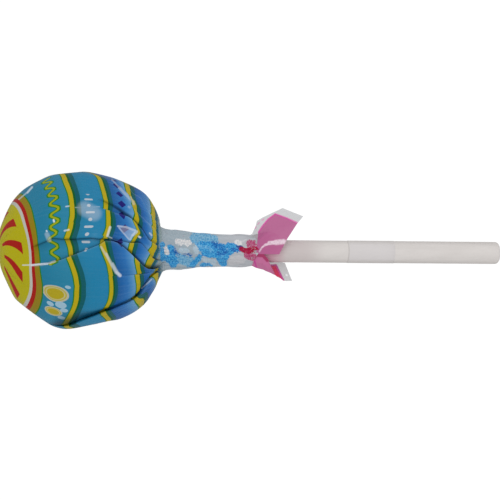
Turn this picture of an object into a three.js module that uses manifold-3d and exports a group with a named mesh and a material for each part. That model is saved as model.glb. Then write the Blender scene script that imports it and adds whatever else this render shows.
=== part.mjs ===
// A ball lollipop in its twisted film wrapper, lying on a table.
// Two real pieces: the wrapper, closed round the sweet, and the plastic stick that runs up inside it.
// Millimetres and degrees. The part's frame has +Z up and its origin where the ball rests on the table.
// Both pieces are made along the lollipop's own axis: +X from the ball to the stick, +Z its upper side,
// and the group then lays that axis down until the stick's end touches the table as well.
//
// The film is described by a "station" and an "azimuth". The station is the distance along the film from
// the far pole of the ball, counted in degrees of the ball's own curve, so it is the polar angle as long as
// the film follows the ball, and simply runs on along the neck. The azimuth turns round the axis: 0 is the
// upper side, 90 the +Y side.
import * as THREE from "three";
import { mergeVertices } from "three/addons/utils/BufferGeometryUtils.js";
import Module from "manifold-3d";

// ---- Driving dimensions ----

const BALL_RADIUS = 13.66; // of the ball's creases: between them the film is pulled flatter
const REST_HEIGHT = 13.25; // of the ball's middle above the table
const REST_PRESS = 0.12; // how far the film under it would reach into the table, were it not pressed flat
const SHOULDER_BULGE = 1.15; // how far the gathered film stands off the ball beside the neck
const SHOULDER_STATIONS = [110, 144]; // where that bulge begins and is full

const NECK_STATION = 156; // where the film leaves the ball for the neck
const NECK_START = { along: 16.4, radius: 3.36 };
const NECK_FILLET_CORNER = { along: 13.95, radius: 3.6 };
const NECK_WAIST = { along: 26.5, radius: 2.66 };
const NECK_LEAN = 0.16; // how far its end lies towards +Y of the stick's axis
const NECK_END = 31.1;
const NECK_RAGGEDNESS = 0.45; // how unevenly that end runs round
const NECK_RIDGES = 5; // gathers of film running along the neck
const NECK_RIDGE_HEIGHT = 0.13;
const NECK_LUMP_HEIGHT = 0.12;

const STICK_RADIUS = 1.9;
const STICK_INNER_END = -3; // the stick goes a little past the ball's middle
const STICK_OUTER_END = 74.7;
const STICK_END_ROUNDING = 0.7;
const STICK_BAND = { from: 47.6, to: 55.7, height: 0.035, edge: 0.08 }; // a faintly thicker length
const STICK_SIDES = 40;
const STICK_REST_DEPTH = 0.06; // how far its rounded tip is flattened where it rests

const CLEARANCE = 0.3; // between the stick and the film round it
const FLAP_THICKNESS = 0.34;

// ---- The folds of the film ----
// Each fold is a line from the far side of the ball to the neck. Its azimuths are given at FOLD_STATIONS,
// and it turns with the neck's twist after the last one. From the station "starts" on, the film on the
// line's lower-azimuth side laps over the film beyond it and stands "lift" higher.

const FOLD_STATIONS = [40, 80, 105, 135, 160, 225];
const NECK_TWIST = -1; // degrees of azimuth for each station past the last fold station
const FOLDS = [
  { azimuths: [-96, -72, -51, -29, -36, -96], starts: 72, lift: 0.46 },
  { azimuths: [-18, -2, 7.5, -17, -24, -64], starts: 42, lift: 0.4 },
  { azimuths: [24, 20, 14, -2, -12, -34], starts: 117, lift: 0.3 },
  { azimuths: [52, 44, 34.5, 10, 0, -8], starts: 96, lift: 0.42 },
  { azimuths: [92, 84, 70, 47, 26, 22], starts: 117, lift: 0.28 },
  { azimuths: [120, 114, 100, 78, 56, 54], starts: 80, lift: 0.34 },
  { azimuths: [150, 144, 136, 124, 104, 92], starts: 92, lift: 0.4 },
  { azimuths: [181, 180, 178, 176, 156, 134], starts: 120, lift: 0.3 },
  { azimuths: [210, 213, 220, 230, 214, 176], starts: 108, lift: 0.4 },
  { azimuths: [240, 248, 262, 280, 272, 220], starts: 84, lift: 0.28 },
];
const LIFT_LENGTH = 26; // stations over which a fold grows to its full lift
const LAP_REACH = 13; // degrees of azimuth over which the lapping side rises
const TUCK_REACH = 8; // and over which the tucked side recovers
const TUCK_SHARE = 0.45; // how deep the tucked side dips, as a share of the lift
const STEP_WIDTH = 1.1; // degrees of azimuth that the step itself takes

// Where the film is pulled flat between its creases: station, azimuth and distance from the ball's middle.
const FACETS = [
  [14, 192, 13.1],
  [28, 242, 13.0],
  [26, 122, 13.4],
  [33, 0, 13.25],
  [55, 260, 13.02],
  [49, 52, 13.3],
  [50, -44, 13.2],
  [64, 97, 13.35],
  [72, 24, 13.3],
  [74, -34, 13.2],
  [84, 91, 13.08],
  [99, 50, 13.25],
  [100, -26, 13.2],
  [102, -87, 12.98],
  [105, 86, 13.15],
  [124, -34, 13.35],
  [128, 54, 13.3],
  [127, 90, 13.3],
  [44, 160, 13.3],
  [46, 206, 13.28],
  [68, 178, 13.3],
  [64, 228, 13.25],
  [78, 134, 13.2],
  [82, 240, 13.25],
  [110, 124, 13.25],
  [112, 150, 13.3],
  [108, 218, 13.25],
  [129, 200, 13.3],
  [128, 252, 13.1],
];
const FACET_SOFTNESS = 0.14; // how rounded the edges between the facets are

// ---- The free ends of the film ----
// Each flap is a sheet stretched between four edges: its root on the neck, its hem, and two sides.
// Points are [along the axis, across (+Y), up].

const FLAPS = {
  upper: {
    root: [[29.6, 2.4, 0.85], [29.9, 1.3, 2.2], [30.3, -0.2, 2.5]],
    hem: [[35.8, 7.4, 1.3], [39.35, 6.05, 1.7], [36.4, 2.2, 2.75], [34.8, -0.55, 3.0]],
    left: [[29.6, 2.4, 0.85], [30.9, 4.6, 1.45], [31.6, 5.4, 1.5], [33.6, 6.4, 1.35], [35.8, 7.4, 1.3]],
    right: [[30.3, -0.2, 2.5], [32.2, -0.55, 2.8], [34.8, -0.55, 3.0]],
    swell: [0, 0, 0.35],
  },
  lower: {
    root: [[30.3, -0.1, 2.5], [29.4, -1.3, 2.05], [29.2, -2.2, 0.4], [29.6, -2.05, -1.2], [30.2, -1.2, -2.2]],
    hem: [[36.4, -5.0, -0.6], [37.1, -5.1, -1.2], [38.3, -5.0, -1.6], [37.7, -3.35, -2.2], [37.3, -2.0, -2.7]],
    left: [[30.3, -0.1, 2.5], [32.0, -0.9, 2.65], [33.0, -1.8, 2.15], [34.0, -2.95, 1.2], [36.4, -5.0, -0.6]],
    right: [[30.2, -1.2, -2.2], [34.6, -1.5, -2.7], [37.3, -2.0, -2.7]],
    swell: [-0.3, -0.75, -0.1],
  },
  under: {
    root: [[30.2, -1.2, -2.25], [30.0, 0.6, -2.4], [29.8, 1.8, -1.75], [29.6, 2.4, -0.5]],
    hem: [[33.4, -1.6, -5.0], [35.6, 0.6, -5.2], [36.6, 2.6, -3.6], [34.6, 3.4, -1.6]],
    left: [[30.2, -1.2, -2.25], [31.6, -1.5, -3.8], [33.4, -1.6, -5.0]],
    right: [[29.6, 2.4, -0.5], [32.2, 3.1, -1.0], [34.6, 3.4, -1.6]],
    swell: [0, 0, -0.3],
  },
};
const FLAP_STEPS = { outward: 8, across: 12 };

// ---- How finely the wrapper is faceted ----

const BALL_ROWS = 26;
const FILLET_ROWS = 3;
const NECK_ROWS = 11;
const COLUMN_WIDTH = 5.6; // degrees of azimuth, about, at the station COLUMN_STATION
const COLUMN_STATION = 105;

// ---- Small helpers ----

const radians = THREE.MathUtils.degToRad;
const smooth = (x, from, to) => THREE.MathUtils.smoothstep(x, from, to);

// A smooth curve through values given at knots, running on straight past the last knot.
function through(knots, values, x, endSlope) {
  const last = knots.length - 1;
  if (x <= knots[0]) return values[0];
  if (x >= knots[last]) return values[last] + endSlope * (x - knots[last]);
  const i = knots.findIndex((knot) => knot > x) - 1;
  const slopeAt = (k) =>
    k === 0 ? 0 : k === last ? endSlope : (values[k + 1] - values[k - 1]) / (knots[k + 1] - knots[k - 1]);
  const span = knots[i + 1] - knots[i];
  const t = (x - knots[i]) / span;
  const blend = t * t * (3 - 2 * t);
  return (
    values[i] + blend * (values[i + 1] - values[i]) +
    span * t * (1 - t) * ((1 - t) * slopeAt(i) - t * slopeAt(i + 1))
  );
}

// The tilt at which the rounded tip of the stick sinks into the table by STICK_REST_DEPTH.
function lyingTilt() {
  const along = STICK_OUTER_END - STICK_END_ROUNDING;
  const radius = STICK_RADIUS - STICK_END_ROUNDING;
  const drop = REST_HEIGHT - STICK_END_ROUNDING + STICK_REST_DEPTH;
  return Math.asin(drop / Math.hypot(along, radius)) - Math.atan2(radius, along);
}

// ---- The wrapper's surface ----

// A point of the smooth film's outline and its outward normal, both as [along, radius].
function meridian(row) {
  if (row.part === "ball") {
    const angle = radians(row.station);
    const reach = BALL_RADIUS + SHOULDER_BULGE * smooth(row.station, ...SHOULDER_STATIONS);
    return { point: [-reach * Math.cos(angle), reach * Math.sin(angle)], normal: [-Math.cos(angle), Math.sin(angle)] };
  }
  if (row.part === "fillet") {
    const start = meridian({ part: "ball", station: NECK_STATION }).point;
    const corner = [NECK_FILLET_CORNER.along, NECK_FILLET_CORNER.radius];
    const end = [NECK_START.along, NECK_START.radius];
    const t = row.share;
    const at = (k) => (1 - t) ** 2 * start[k] + 2 * t * (1 - t) * corner[k] + t ** 2 * end[k];
    const slope = (k) => (1 - t) * (corner[k] - start[k]) + t * (end[k] - corner[k]);
    const length = Math.hypot(slope(0), slope(1));
    return { point: [at(0), at(1)], normal: [-slope(1) / length, slope(0) / length] };
  }
  const along = NECK_START.along + row.share * (NECK_END - NECK_START.along);
  const narrowing = smooth(along, NECK_START.along - 1, NECK_WAIST.along);
  return { point: [along, NECK_START.radius + narrowing * (NECK_WAIST.radius - NECK_START.radius)], normal: [0, 1] };
}

// The rows of the wrapper's grid, from the far pole to the neck's open end.
function filmRows() {
  const stationOfAMillimetre = 1 / radians(BALL_RADIUS);
  const rows = [];
  for (let i = 1; i <= BALL_ROWS; i++) rows.push({ part: "ball", station: (NECK_STATION * i) / BALL_ROWS });
  let station = NECK_STATION;
  let previous = meridian(rows.at(-1)).point;
  const add = (row) => {
    const { point } = meridian(row);
    station += Math.hypot(point[0] - previous[0], point[1] - previous[1]) * stationOfAMillimetre;
    previous = point;
    rows.push({ ...row, station });
  };
  for (let i = 1; i <= FILLET_ROWS; i++) add({ part: "fillet", share: i / FILLET_ROWS });
  for (let i = 1; i <= NECK_ROWS; i++) add({ part: "neck", share: i / NECK_ROWS });
  return rows;
}

const foldAzimuth = (fold, station) => through(FOLD_STATIONS, fold.azimuths, station, NECK_TWIST);

// From one fold's step to the next, at a station: where each panel of film begins, and how wide it is.
function panels(station) {
  const lines = FOLDS.map((fold) => foldAzimuth(fold, station));
  return lines.map((line, i) => {
    const next = i + 1 < lines.length ? lines[i + 1] : lines[0] + 360;
    return { begins: line + STEP_WIDTH / 2, width: next - line - STEP_WIDTH };
  });
}

const panelColumns = panels(COLUMN_STATION).map(({ width }) => Math.max(3, Math.round(width / COLUMN_WIDTH)));

// The azimuths of one row: each panel is divided evenly, with a narrow step between it and the next.
function rowAzimuths(station) {
  return panels(station).flatMap(({ begins, width }, i) =>
    Array.from({ length: panelColumns[i] + 1 }, (_, j) => begins + (width * j) / panelColumns[i]),
  );
}

const wrapped = (angle) => THREE.MathUtils.euclideanModulo(angle + 180, 360) - 180;

// How far the folds raise the film at a place.
function foldRelief(station, azimuth) {
  const fade = 1 - 0.6 * smooth(station, 150, 190);
  let height = 0;
  for (const fold of FOLDS) {
    const away = wrapped(azimuth - foldAzimuth(fold, station));
    const lift = fold.lift * fade * smooth(station, fold.starts, fold.starts + LIFT_LENGTH);
    height += away < 0 ? lift * Math.exp(away / LAP_REACH) : -lift * TUCK_SHARE * Math.exp(-away / TUCK_REACH);
  }
  return height;
}

const direction = (station, azimuth) =>
  new THREE.Vector3(
    -Math.cos(radians(station)),
    Math.sin(radians(station)) * Math.sin(radians(azimuth)),
    Math.sin(radians(station)) * Math.cos(radians(azimuth)),
  );

// The facets are planes, and the film follows whichever is nearest, or the ball itself, with rounded edges.
const restingFilm = [90 + THREE.MathUtils.radToDeg(lyingTilt()), 180, REST_HEIGHT + REST_PRESS];
const planes = [...FACETS, restingFilm].map(([station, azimuth, distance]) => ({
  facing: direction(station, azimuth),
  distance,
}));

// How far the facets pull the film in, on the ball.
function facetRelief(station, azimuth) {
  const here = direction(station, azimuth);
  let sum = 1;
  for (const { facing, distance } of planes) {
    const share = here.dot(facing);
    if (share > 0.5) sum += Math.exp((BALL_RADIUS - distance / share) / FACET_SOFTNESS);
  }
  return -FACET_SOFTNESS * Math.log(sum);
}

// The gathers and lumps of the neck.
function neckRelief(along, azimuth) {
  const turn = radians(azimuth);
  const ridges = NECK_RIDGE_HEIGHT * Math.sin(NECK_RIDGES * turn + 0.35 * along);
  const lumps = NECK_LUMP_HEIGHT * Math.sin(0.9 * along + 2 * Math.sin(turn)) * Math.cos(turn - 0.25 * along);
  return ridges + lumps;
}

function wrapperGeometry() {
  const positions = [];
  const rows = filmRows();
  const pole = BALL_RADIUS + facetRelief(0, 0);
  positions.push(-pole, 0, 0);
  for (const row of rows) {
    const { point, normal } = meridian(row);
    const onNeck = smooth(row.station, NECK_STATION - 4, NECK_STATION + 22);
    for (const azimuth of rowAzimuths(row.station)) {
      const relief =
        foldRelief(row.station, azimuth) * (1 - 0.8 * onNeck) +
        (row.part === "ball" ? facetRelief(row.station, azimuth) * (1 - onNeck) : 0) +
        neckRelief(point[0], azimuth) * onNeck;
      const radius = point[1] + normal[1] * relief;
      const neckShare = smooth(point[0], NECK_START.along, NECK_END);
      const ragged = NECK_RAGGEDNESS * neckShare ** 4 * Math.sin(3 * radians(azimuth) + 1);
      const along = point[0] + normal[0] * relief + ragged;
      const across = radius * Math.sin(radians(azimuth)) + NECK_LEAN * neckShare;
      positions.push(along, across, radius * Math.cos(radians(azimuth)));
    }
  }
  positions.push(NECK_END, NECK_LEAN, 0);

  const columns = rowAzimuths(0).length;
  const vertex = (row, column) => 1 + row * columns + (column % columns);
  const last = positions.length / 3 - 1;
  const index = [];
  for (let c = 0; c < columns; c++) {
    index.push(0, vertex(0, c), vertex(0, c + 1));
    index.push(last, vertex(rows.length - 1, c + 1), vertex(rows.length - 1, c));
    for (let r = 0; r + 1 < rows.length; r++) {
      index.push(vertex(r, c), vertex(r + 1, c), vertex(r + 1, c + 1));
      index.push(vertex(r, c), vertex(r + 1, c + 1), vertex(r, c + 1));
    }
  }
  const geometry = new THREE.BufferGeometry();
  geometry.setAttribute("position", new THREE.Float32BufferAttribute(positions, 3));
  geometry.setIndex(index);
  return geometry;
}

// ---- The flaps ----

// A point on a chain of straight pieces, at a share of the number of pieces.
function onChain(points, share) {
  const at = Math.min(share * (points.length - 1), points.length - 1 - 1e-9);
  const i = Math.floor(at);
  return new THREE.Vector3(...points[i]).lerp(new THREE.Vector3(...points[i + 1]), at - i);
}

// The sheet between a flap's four edges (a Coons patch), with its middle moved by the flap's swell.
function flapPoint(flap, outward, across) {
  const corner = (points, k) => new THREE.Vector3(...points.at(k));
  const between = onChain(flap.root, across).lerp(onChain(flap.hem, across), outward);
  const sides = onChain(flap.left, outward).lerp(onChain(flap.right, outward), across);
  const corners = corner(flap.root, 0).lerp(corner(flap.root, -1), across)
    .lerp(corner(flap.hem, 0).lerp(corner(flap.hem, -1), across), outward);
  const middle = Math.sin(Math.PI * outward) * Math.sin(Math.PI * across);
  return between.add(sides).sub(corners).addScaledVector(new THREE.Vector3(...flap.swell), middle);
}

function flapGeometry(flap) {
  const { outward: rows, across: columns } = FLAP_STEPS;
  const top = [];
  const bottom = [];
  for (let i = 0; i <= rows; i++) {
    for (let j = 0; j <= columns; j++) {
      const [u, v] = [i / rows, j / columns];
      const step = 0.02;
      const alongU = flapPoint(flap, Math.min(u + step, 1), v).sub(flapPoint(flap, Math.max(u - step, 0), v));
      const alongV = flapPoint(flap, u, Math.min(v + step, 1)).sub(flapPoint(flap, u, Math.max(v - step, 0)));
      const normal = alongU.cross(alongV).normalize().multiplyScalar(FLAP_THICKNESS / 2);
      top.push(flapPoint(flap, u, v).add(normal));
      bottom.push(flapPoint(flap, u, v).sub(normal));
    }
  }
  const vertex = (i, j, side) => side * top.length + i * (columns + 1) + j;
  const index = [];
  const quad = (a, b, c, d) => index.push(a, b, c, a, c, d);
  for (let i = 0; i < rows; i++) {
    for (let j = 0; j < columns; j++) {
      quad(vertex(i, j, 0), vertex(i + 1, j, 0), vertex(i + 1, j + 1, 0), vertex(i, j + 1, 0));
      const below = [vertex(i, j, 1), vertex(i + 1, j, 1), vertex(i + 1, j + 1, 1), vertex(i, j + 1, 1)];
      index.push(below[0], below[2], below[1], below[0], below[3], below[2]);
    }
  }
  for (let i = 0; i < rows; i++) {
    quad(vertex(i, 0, 0), vertex(i, 0, 1), vertex(i + 1, 0, 1), vertex(i + 1, 0, 0));
    quad(vertex(i + 1, columns, 0), vertex(i + 1, columns, 1), vertex(i, columns, 1), vertex(i, columns, 0));
  }
  for (let j = 0; j < columns; j++) {
    quad(vertex(0, j + 1, 0), vertex(0, j + 1, 1), vertex(0, j, 1), vertex(0, j, 0));
    quad(vertex(rows, j, 0), vertex(rows, j, 1), vertex(rows, j + 1, 1), vertex(rows, j + 1, 0));
  }
  const geometry = new THREE.BufferGeometry().setFromPoints([...top, ...bottom]);
  geometry.setIndex(index);
  return geometry;
}

// ---- The stick ----

// Turns a profile of [along, radius] points, from the inner end to the outer one, into a solid of revolution.
function turned(profile, sides) {
  const points = profile.map(([along, radius]) => new THREE.Vector2(radius, along));
  return new THREE.LatheGeometry(points, sides).rotateZ(-Math.PI / 2);
}

function stickProfile() {
  const { from, to, height, edge } = STICK_BAND;
  const profile = [[STICK_INNER_END, 0], [STICK_INNER_END, STICK_RADIUS]];
  profile.push([from - edge, STICK_RADIUS], [from, STICK_RADIUS + height]);
  profile.push([to, STICK_RADIUS + height], [to + edge, STICK_RADIUS]);
  const steps = 5;
  for (let i = 0; i <= steps; i++) {
    const angle = radians((90 * i) / steps);
    profile.push([
      STICK_OUTER_END - STICK_END_ROUNDING * (1 - Math.sin(angle)),
      STICK_RADIUS - STICK_END_ROUNDING * (1 - Math.cos(angle)),
    ]);
  }
  profile.push([STICK_OUTER_END, 0]);
  return profile;
}

// ---- How the lollipop lies ----

const lollipop = new THREE.Group();
lollipop.name = "ball_lollipop";
lollipop.position.set(0, 0, REST_HEIGHT);
lollipop.rotation.y = lyingTilt();
lollipop.updateMatrixWorld();

// ---- Cutting and joining ----

const wasm = await Module();
wasm.setup();

function solid(geometry) {
  const bare = geometry.clone();
  bare.deleteAttribute("normal");
  bare.deleteAttribute("uv");
  const merged = mergeVertices(bare, 1e-4);
  return new wasm.Manifold(
    new wasm.Mesh({
      numProp: 3,
      vertProperties: new Float32Array(merged.attributes.position.array),
      triVerts: new Uint32Array(merged.index.array),
    }),
  );
}

function geometryOf(made) {
  const { numProp, vertProperties, triVerts } = made.getMesh();
  const positions = [];
  for (let i = 0; i < vertProperties.length; i += numProp) positions.push(...vertProperties.subarray(i, i + 3));
  const geometry = new THREE.BufferGeometry();
  geometry.setAttribute("position", new THREE.Float32BufferAttribute(positions, 3));
  geometry.setIndex([...triVerts]);
  geometry.computeVertexNormals();
  return geometry;
}

// The space under the table's top, in the lollipop's own frame.
function underTheTable() {
  const size = 300;
  const block = new THREE.BoxGeometry(size, size, size).translate(0, 0, -size / 2);
  return solid(block.applyMatrix4(lollipop.matrixWorld.clone().invert()));
}

function wrapperSolid() {
  const bore = turned(
    [
      [STICK_INNER_END - CLEARANCE, 0],
      [STICK_INNER_END - CLEARANCE, STICK_RADIUS + CLEARANCE],
      [STICK_OUTER_END, STICK_RADIUS + CLEARANCE],
      [STICK_OUTER_END, 0],
    ],
    STICK_SIDES,
  );
  let made = solid(wrapperGeometry());
  for (const flap of Object.values(FLAPS)) made = made.add(solid(flapGeometry(flap)));
  made = made.subtract(solid(bore)).subtract(underTheTable());
  const pieces = made.decompose();
  return pieces.reduce((largest, piece) => (piece.volume() > largest.volume() ? piece : largest));
}

// ---- The scene graph ----

const printedFilm = new THREE.MeshStandardMaterial({ color: 0x2f82a1, roughness: 0.3, metalness: 0 });
const whitePlastic = new THREE.MeshStandardMaterial({ color: 0xd2cdca, roughness: 0.55, metalness: 0 });

const wrapper = new THREE.Mesh(geometryOf(wrapperSolid()), printedFilm);
wrapper.name = "wrapper";
lollipop.add(wrapper);

const stickCut = solid(turned(stickProfile(), STICK_SIDES)).subtract(underTheTable());
const stick = new THREE.Mesh(geometryOf(stickCut), whitePlastic);
stick.name = "stick";
lollipop.add(stick);

export default lollipop;
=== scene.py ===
import math
from functools import partialmethod

import bpy
import numpy as np
from mathutils import Matrix, Vector


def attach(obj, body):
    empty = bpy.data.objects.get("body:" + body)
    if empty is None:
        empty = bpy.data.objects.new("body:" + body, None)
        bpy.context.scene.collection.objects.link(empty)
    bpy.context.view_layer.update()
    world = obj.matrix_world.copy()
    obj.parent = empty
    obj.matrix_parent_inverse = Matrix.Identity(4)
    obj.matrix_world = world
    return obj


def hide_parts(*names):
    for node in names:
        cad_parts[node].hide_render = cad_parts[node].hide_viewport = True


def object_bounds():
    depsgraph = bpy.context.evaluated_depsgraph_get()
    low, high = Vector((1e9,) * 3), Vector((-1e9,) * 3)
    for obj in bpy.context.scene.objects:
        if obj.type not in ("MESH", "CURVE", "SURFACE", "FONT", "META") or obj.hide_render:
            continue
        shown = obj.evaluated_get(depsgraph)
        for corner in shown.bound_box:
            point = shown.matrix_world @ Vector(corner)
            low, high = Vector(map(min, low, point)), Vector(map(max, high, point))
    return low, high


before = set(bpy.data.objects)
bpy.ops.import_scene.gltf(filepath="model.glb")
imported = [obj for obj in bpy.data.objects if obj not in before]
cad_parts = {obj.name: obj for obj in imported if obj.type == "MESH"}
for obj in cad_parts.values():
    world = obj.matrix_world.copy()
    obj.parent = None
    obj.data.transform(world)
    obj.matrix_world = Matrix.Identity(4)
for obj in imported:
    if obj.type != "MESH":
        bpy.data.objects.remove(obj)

cad_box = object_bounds()

# ---------------------------------------------------------------------------------------------------
# Sizes, in millimetres and degrees, along the lollipop's own axis: x from the ball to the stick's end,
# y across, z up. The "station" is the place along the film from the ball's far pole, in degrees of the
# ball's curve; the azimuth turns round the axis from the upper side (0) towards +y (90).
# ---------------------------------------------------------------------------------------------------

BALL_RADIUS = 13.66
REST_HEIGHT = 13.25
REST_PRESS = 0.12  # how far the table presses the film flat
SHOULDER_BULGE = 1.15
SHOULDER_STATIONS = (110.0, 144.0)
NECK_STATION = 156.0
NECK_START = (16.4, 3.36)
NECK_FILLET_CORNER = (13.95, 3.6)
NECK_WAIST = (26.5, 2.66)
NECK_LEAN = 0.16  # towards +y, at its end
NECK_END = 31.1
STICK_RADIUS = 1.9
STICK_INNER_END = -3.0
STICK_OUTER_END = 74.7
STICK_END_ROUNDING = 0.7
STICK_BAND = (47.6, 55.7)  # a faintly thicker length
STICK_BAND_RISE = 0.035
STICK_REST_DEPTH = 0.06  # how far its tip is flattened where it rests

along_end = STICK_OUTER_END - STICK_END_ROUNDING
radius_end = STICK_RADIUS - STICK_END_ROUNDING
end_drop = REST_HEIGHT - STICK_END_ROUNDING + STICK_REST_DEPTH
TILT = math.asin(end_drop / math.hypot(along_end, radius_end)) - math.atan2(radius_end, along_end)

# The view: straight down, leaning a little along the stick, on a square picture.
PICTURE = 500
MM_PER_PIXEL = 0.1702
VIEW_LEAN = math.radians(4.9)
VIEW_ROLL = math.radians(0.48)
BALL_PIXEL = (76.5, 249.5)
right0 = np.array([math.cos(VIEW_LEAN), 0, math.sin(VIEW_LEAN)])
up0 = np.array([0.0, 1.0, 0.0])
VIEW_RIGHT = math.cos(VIEW_ROLL) * right0 + math.sin(VIEW_ROLL) * up0
VIEW_UP = -math.sin(VIEW_ROLL) * right0 + math.cos(VIEW_ROLL) * up0
VIEW_BACK = np.array([-math.sin(VIEW_LEAN), 0, math.cos(VIEW_LEAN)])

# The film's folds, in order round the ball. "line" is where each runs: (station, azimuth) points. From
# "starts" the side before the line stands "lift" higher than the film beyond it. "gap" is the width in
# degrees of the open valley beside the line, "groove" its depth. "near", "far" and "after" are how deep
# the painted shade is at the lapping edge, at the valley's far side and on the film beyond, where it
# reaches "reach" millimetres; "crest" is how strong the painted highlight on the lapping edge is. T has
# no lap: it only guides the print.
FOLDS = {
    "D": dict(line=((40, -104), (70, -84), (80, -72), (88, -60), (102, -51.0), (108, -50.2), (115, -48.6),
                    (125, -46.0), (131, -39.8), (138, -24.5), (150, -27), (160, -36), (225, -96)),
              starts=66, lift=0.46, crest=0.05,
              near=((100, 1.0), (112, 0.6), (122, 0.6), (128, 1.0), (134, 0.8), (142, 0.4)),
              after=((102, 0.92), (112, 0.6), (122, 0.6), (128, 0.92), (134, 0.8), (142, 0.4)),
              reach=((66, 6.5), (76, 6.0), (84, 3.9), (92, 2.0), (98, 1.1), (104, 0.5), (116, 0.2),
                     (130, 0.16))),
    "E": dict(line=((40, -44), (80, -29), (100, -21), (128, -21.1), (138, -21.8), (150, -24), (160, -31),
                    (225, -85)), starts=104, lift=0.05, near=0.12, after=0.1, reach=((100, 3.0),)),
    "B": dict(line=((40, -17.5), (63, -9.6), (77, -3.3), (94, 3.7), (99, 6.4), (108, 4.9), (118, -2.7),
                    (132, -16), (138, -18.8), (160, -27), (225, -70)),
              starts=42, lift=0.3, groove=0.14, near=((98, 0.35), (104, 1.0)), far=0.85,
              after=((98, 0.35), (106, 0.6), (120, 0.9)), reach=((90, 0.3), (106, 0.4), (120, 0.7)),
              gap=((43, 20), (61, 19.6), (69, 14.9), (77, 11), (88, 7.2), (94, 4), (99, 1.4), (104, 1.0)),
              crest=0.2),
    "C": dict(line=((40, 30), (80, 19), (95, 10.8), (100, 8.4), (108, 7.3), (118, 5.6), (126, 5.9),
                    (130, 2.2), (134, -2.8), (138, -7.7), (160, -18), (225, -46)),
              starts=98, lift=0.2, near=((104, 0.85), (112, 0.5), (126, 1.0)),
              after=((110, 0.3), (122, 0.4), (128, 0.6)), reach=((100, 0.35), (120, 0.35), (128, 0.3)),
              gap=((98, 0.7), (225, 0.7))),
    "A": dict(line=((40, 50), (72, 37), (90, 31.5), (98, 30.9), (108, 28.5), (115, 27.4), (120, 25.4),
                    (124, 21.2), (128, 17.2), (133, 9.6), (138, 7), (160, -5), (225, -20)),
              starts=94, lift=0.34, groove=0.06, far=0.8,
              near=((108, 0.15), (116, 1.0), (132, 1.0), (138, 0.3)),
              after=((104, 0.5), (112, 1.0), (132, 1.0), (140, 0.4)),
              reach=((94, 0.35), (106, 0.7), (116, 1.05), (132, 1.05), (138, 0.7)),
              gap=((90, 9), (100, 7.8), (106, 6.4), (112, 3.6), (117, 1.2), (121, 0.9)), crest=0.1),
    "P": dict(line=((40, 90), (70, 80), (100, 75), (110, 71), (116, 57), (119, 51), (122.3, 40.5),
                    (125, 35), (130, 29.8), (138, 24), (160, 10), (225, 2)),
              starts=108, lift=0.2, near=0.2, after=0.12, reach=((100, 0.5),), crest=0.35),
    "T": dict(line=((40, 102), (66, 90), (80, 86.5), (95, 85.5), (106, 86), (114, 78), (120, 61), (127, 48),
                    (135, 38), (138, 31), (160, 20), (225, 16)),
              starts=400, lift=0.0, near=0.0, after=0.0, reach=((60, 0.3),), crest=0.0),
    "Q": dict(line=((40, 112), (100, 97), (115, 88), (124, 70), (127.4, 61), (133.6, 57), (136, 46),
                    (138, 39), (160, 30), (225, 28)),
              starts=118, lift=0.16, near=0.35, after=0.15, reach=((100, 0.5),), crest=0.5),
    "G": dict(line=((40, 124), (80, 116), (105, 104), (135, 80), (160, 56), (225, 54)),
              starts=80, lift=0.34, near=0.6, after=0.3, reach=((80, 0.6),)),
    "H": dict(line=((40, 150), (80, 144), (105, 136), (135, 124), (160, 104), (225, 92)),
              starts=92, lift=0.4, near=0.8, after=0.5, reach=((80, 0.8),)),
    "I": dict(line=((40, 181), (80, 180), (105, 178), (135, 176), (160, 156), (225, 134)),
              starts=120, lift=0.3, near=0.7, after=0.3, reach=((80, 0.5),)),
    "J": dict(line=((40, 210), (80, 213), (105, 218), (135, 222), (160, 212), (225, 176)),
              starts=108, lift=0.4, near=0.8, after=0.5, reach=((80, 0.7),)),
    "K": dict(line=((40, 240), (80, 246), (105, 254), (135, 262), (160, 262), (225, 220)),
              starts=84, lift=0.28, near=0.8, after=0.4, reach=((80, 0.6),)),
}
NAMES = list(FOLDS)
NECK_TWIST = -1.0  # degrees of azimuth to a station, past the last point of a line
LIFT_LENGTH = 26.0  # stations in which a lap grows to its full lift
LAP_REACH, TUCK_REACH = 13.0, 8.0  # degrees in which the lift dies away, before a line and past it
TUCK_SHARE = 0.45  # how much of the lift the film past the line lies lower

# Flat stretches of the ball: the station and the azimuth that each faces, and its distance from the
# middle. The ball rests on the last one.
FACETS = (
    (14, 192, 13.1), (28, 242, 13.0), (26, 122, 13.4), (33, 0, 13.25), (55, 260, 13.02), (49, 52, 13.3),
    (50, -44, 13.2), (64, 97, 13.35), (72, 24, 13.3), (74, -34, 13.2), (84, 91, 13.08), (99, 50, 13.25),
    (100, -26, 13.2), (102, -87, 12.98), (105, 86, 13.15), (124, -34, 13.35), (128, 54, 13.3),
    (127, 90, 13.3), (44, 160, 13.3), (46, 206, 13.28), (68, 178, 13.3), (64, 228, 13.25), (78, 134, 13.2),
    (82, 240, 13.25), (110, 124, 13.25), (112, 150, 13.3), (108, 218, 13.25), (129, 200, 13.3),
    (128, 252, 13.1), (90 + math.degrees(TILT), 180, REST_HEIGHT + REST_PRESS),
)
FACET_SOFTNESS = 0.14

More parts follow.
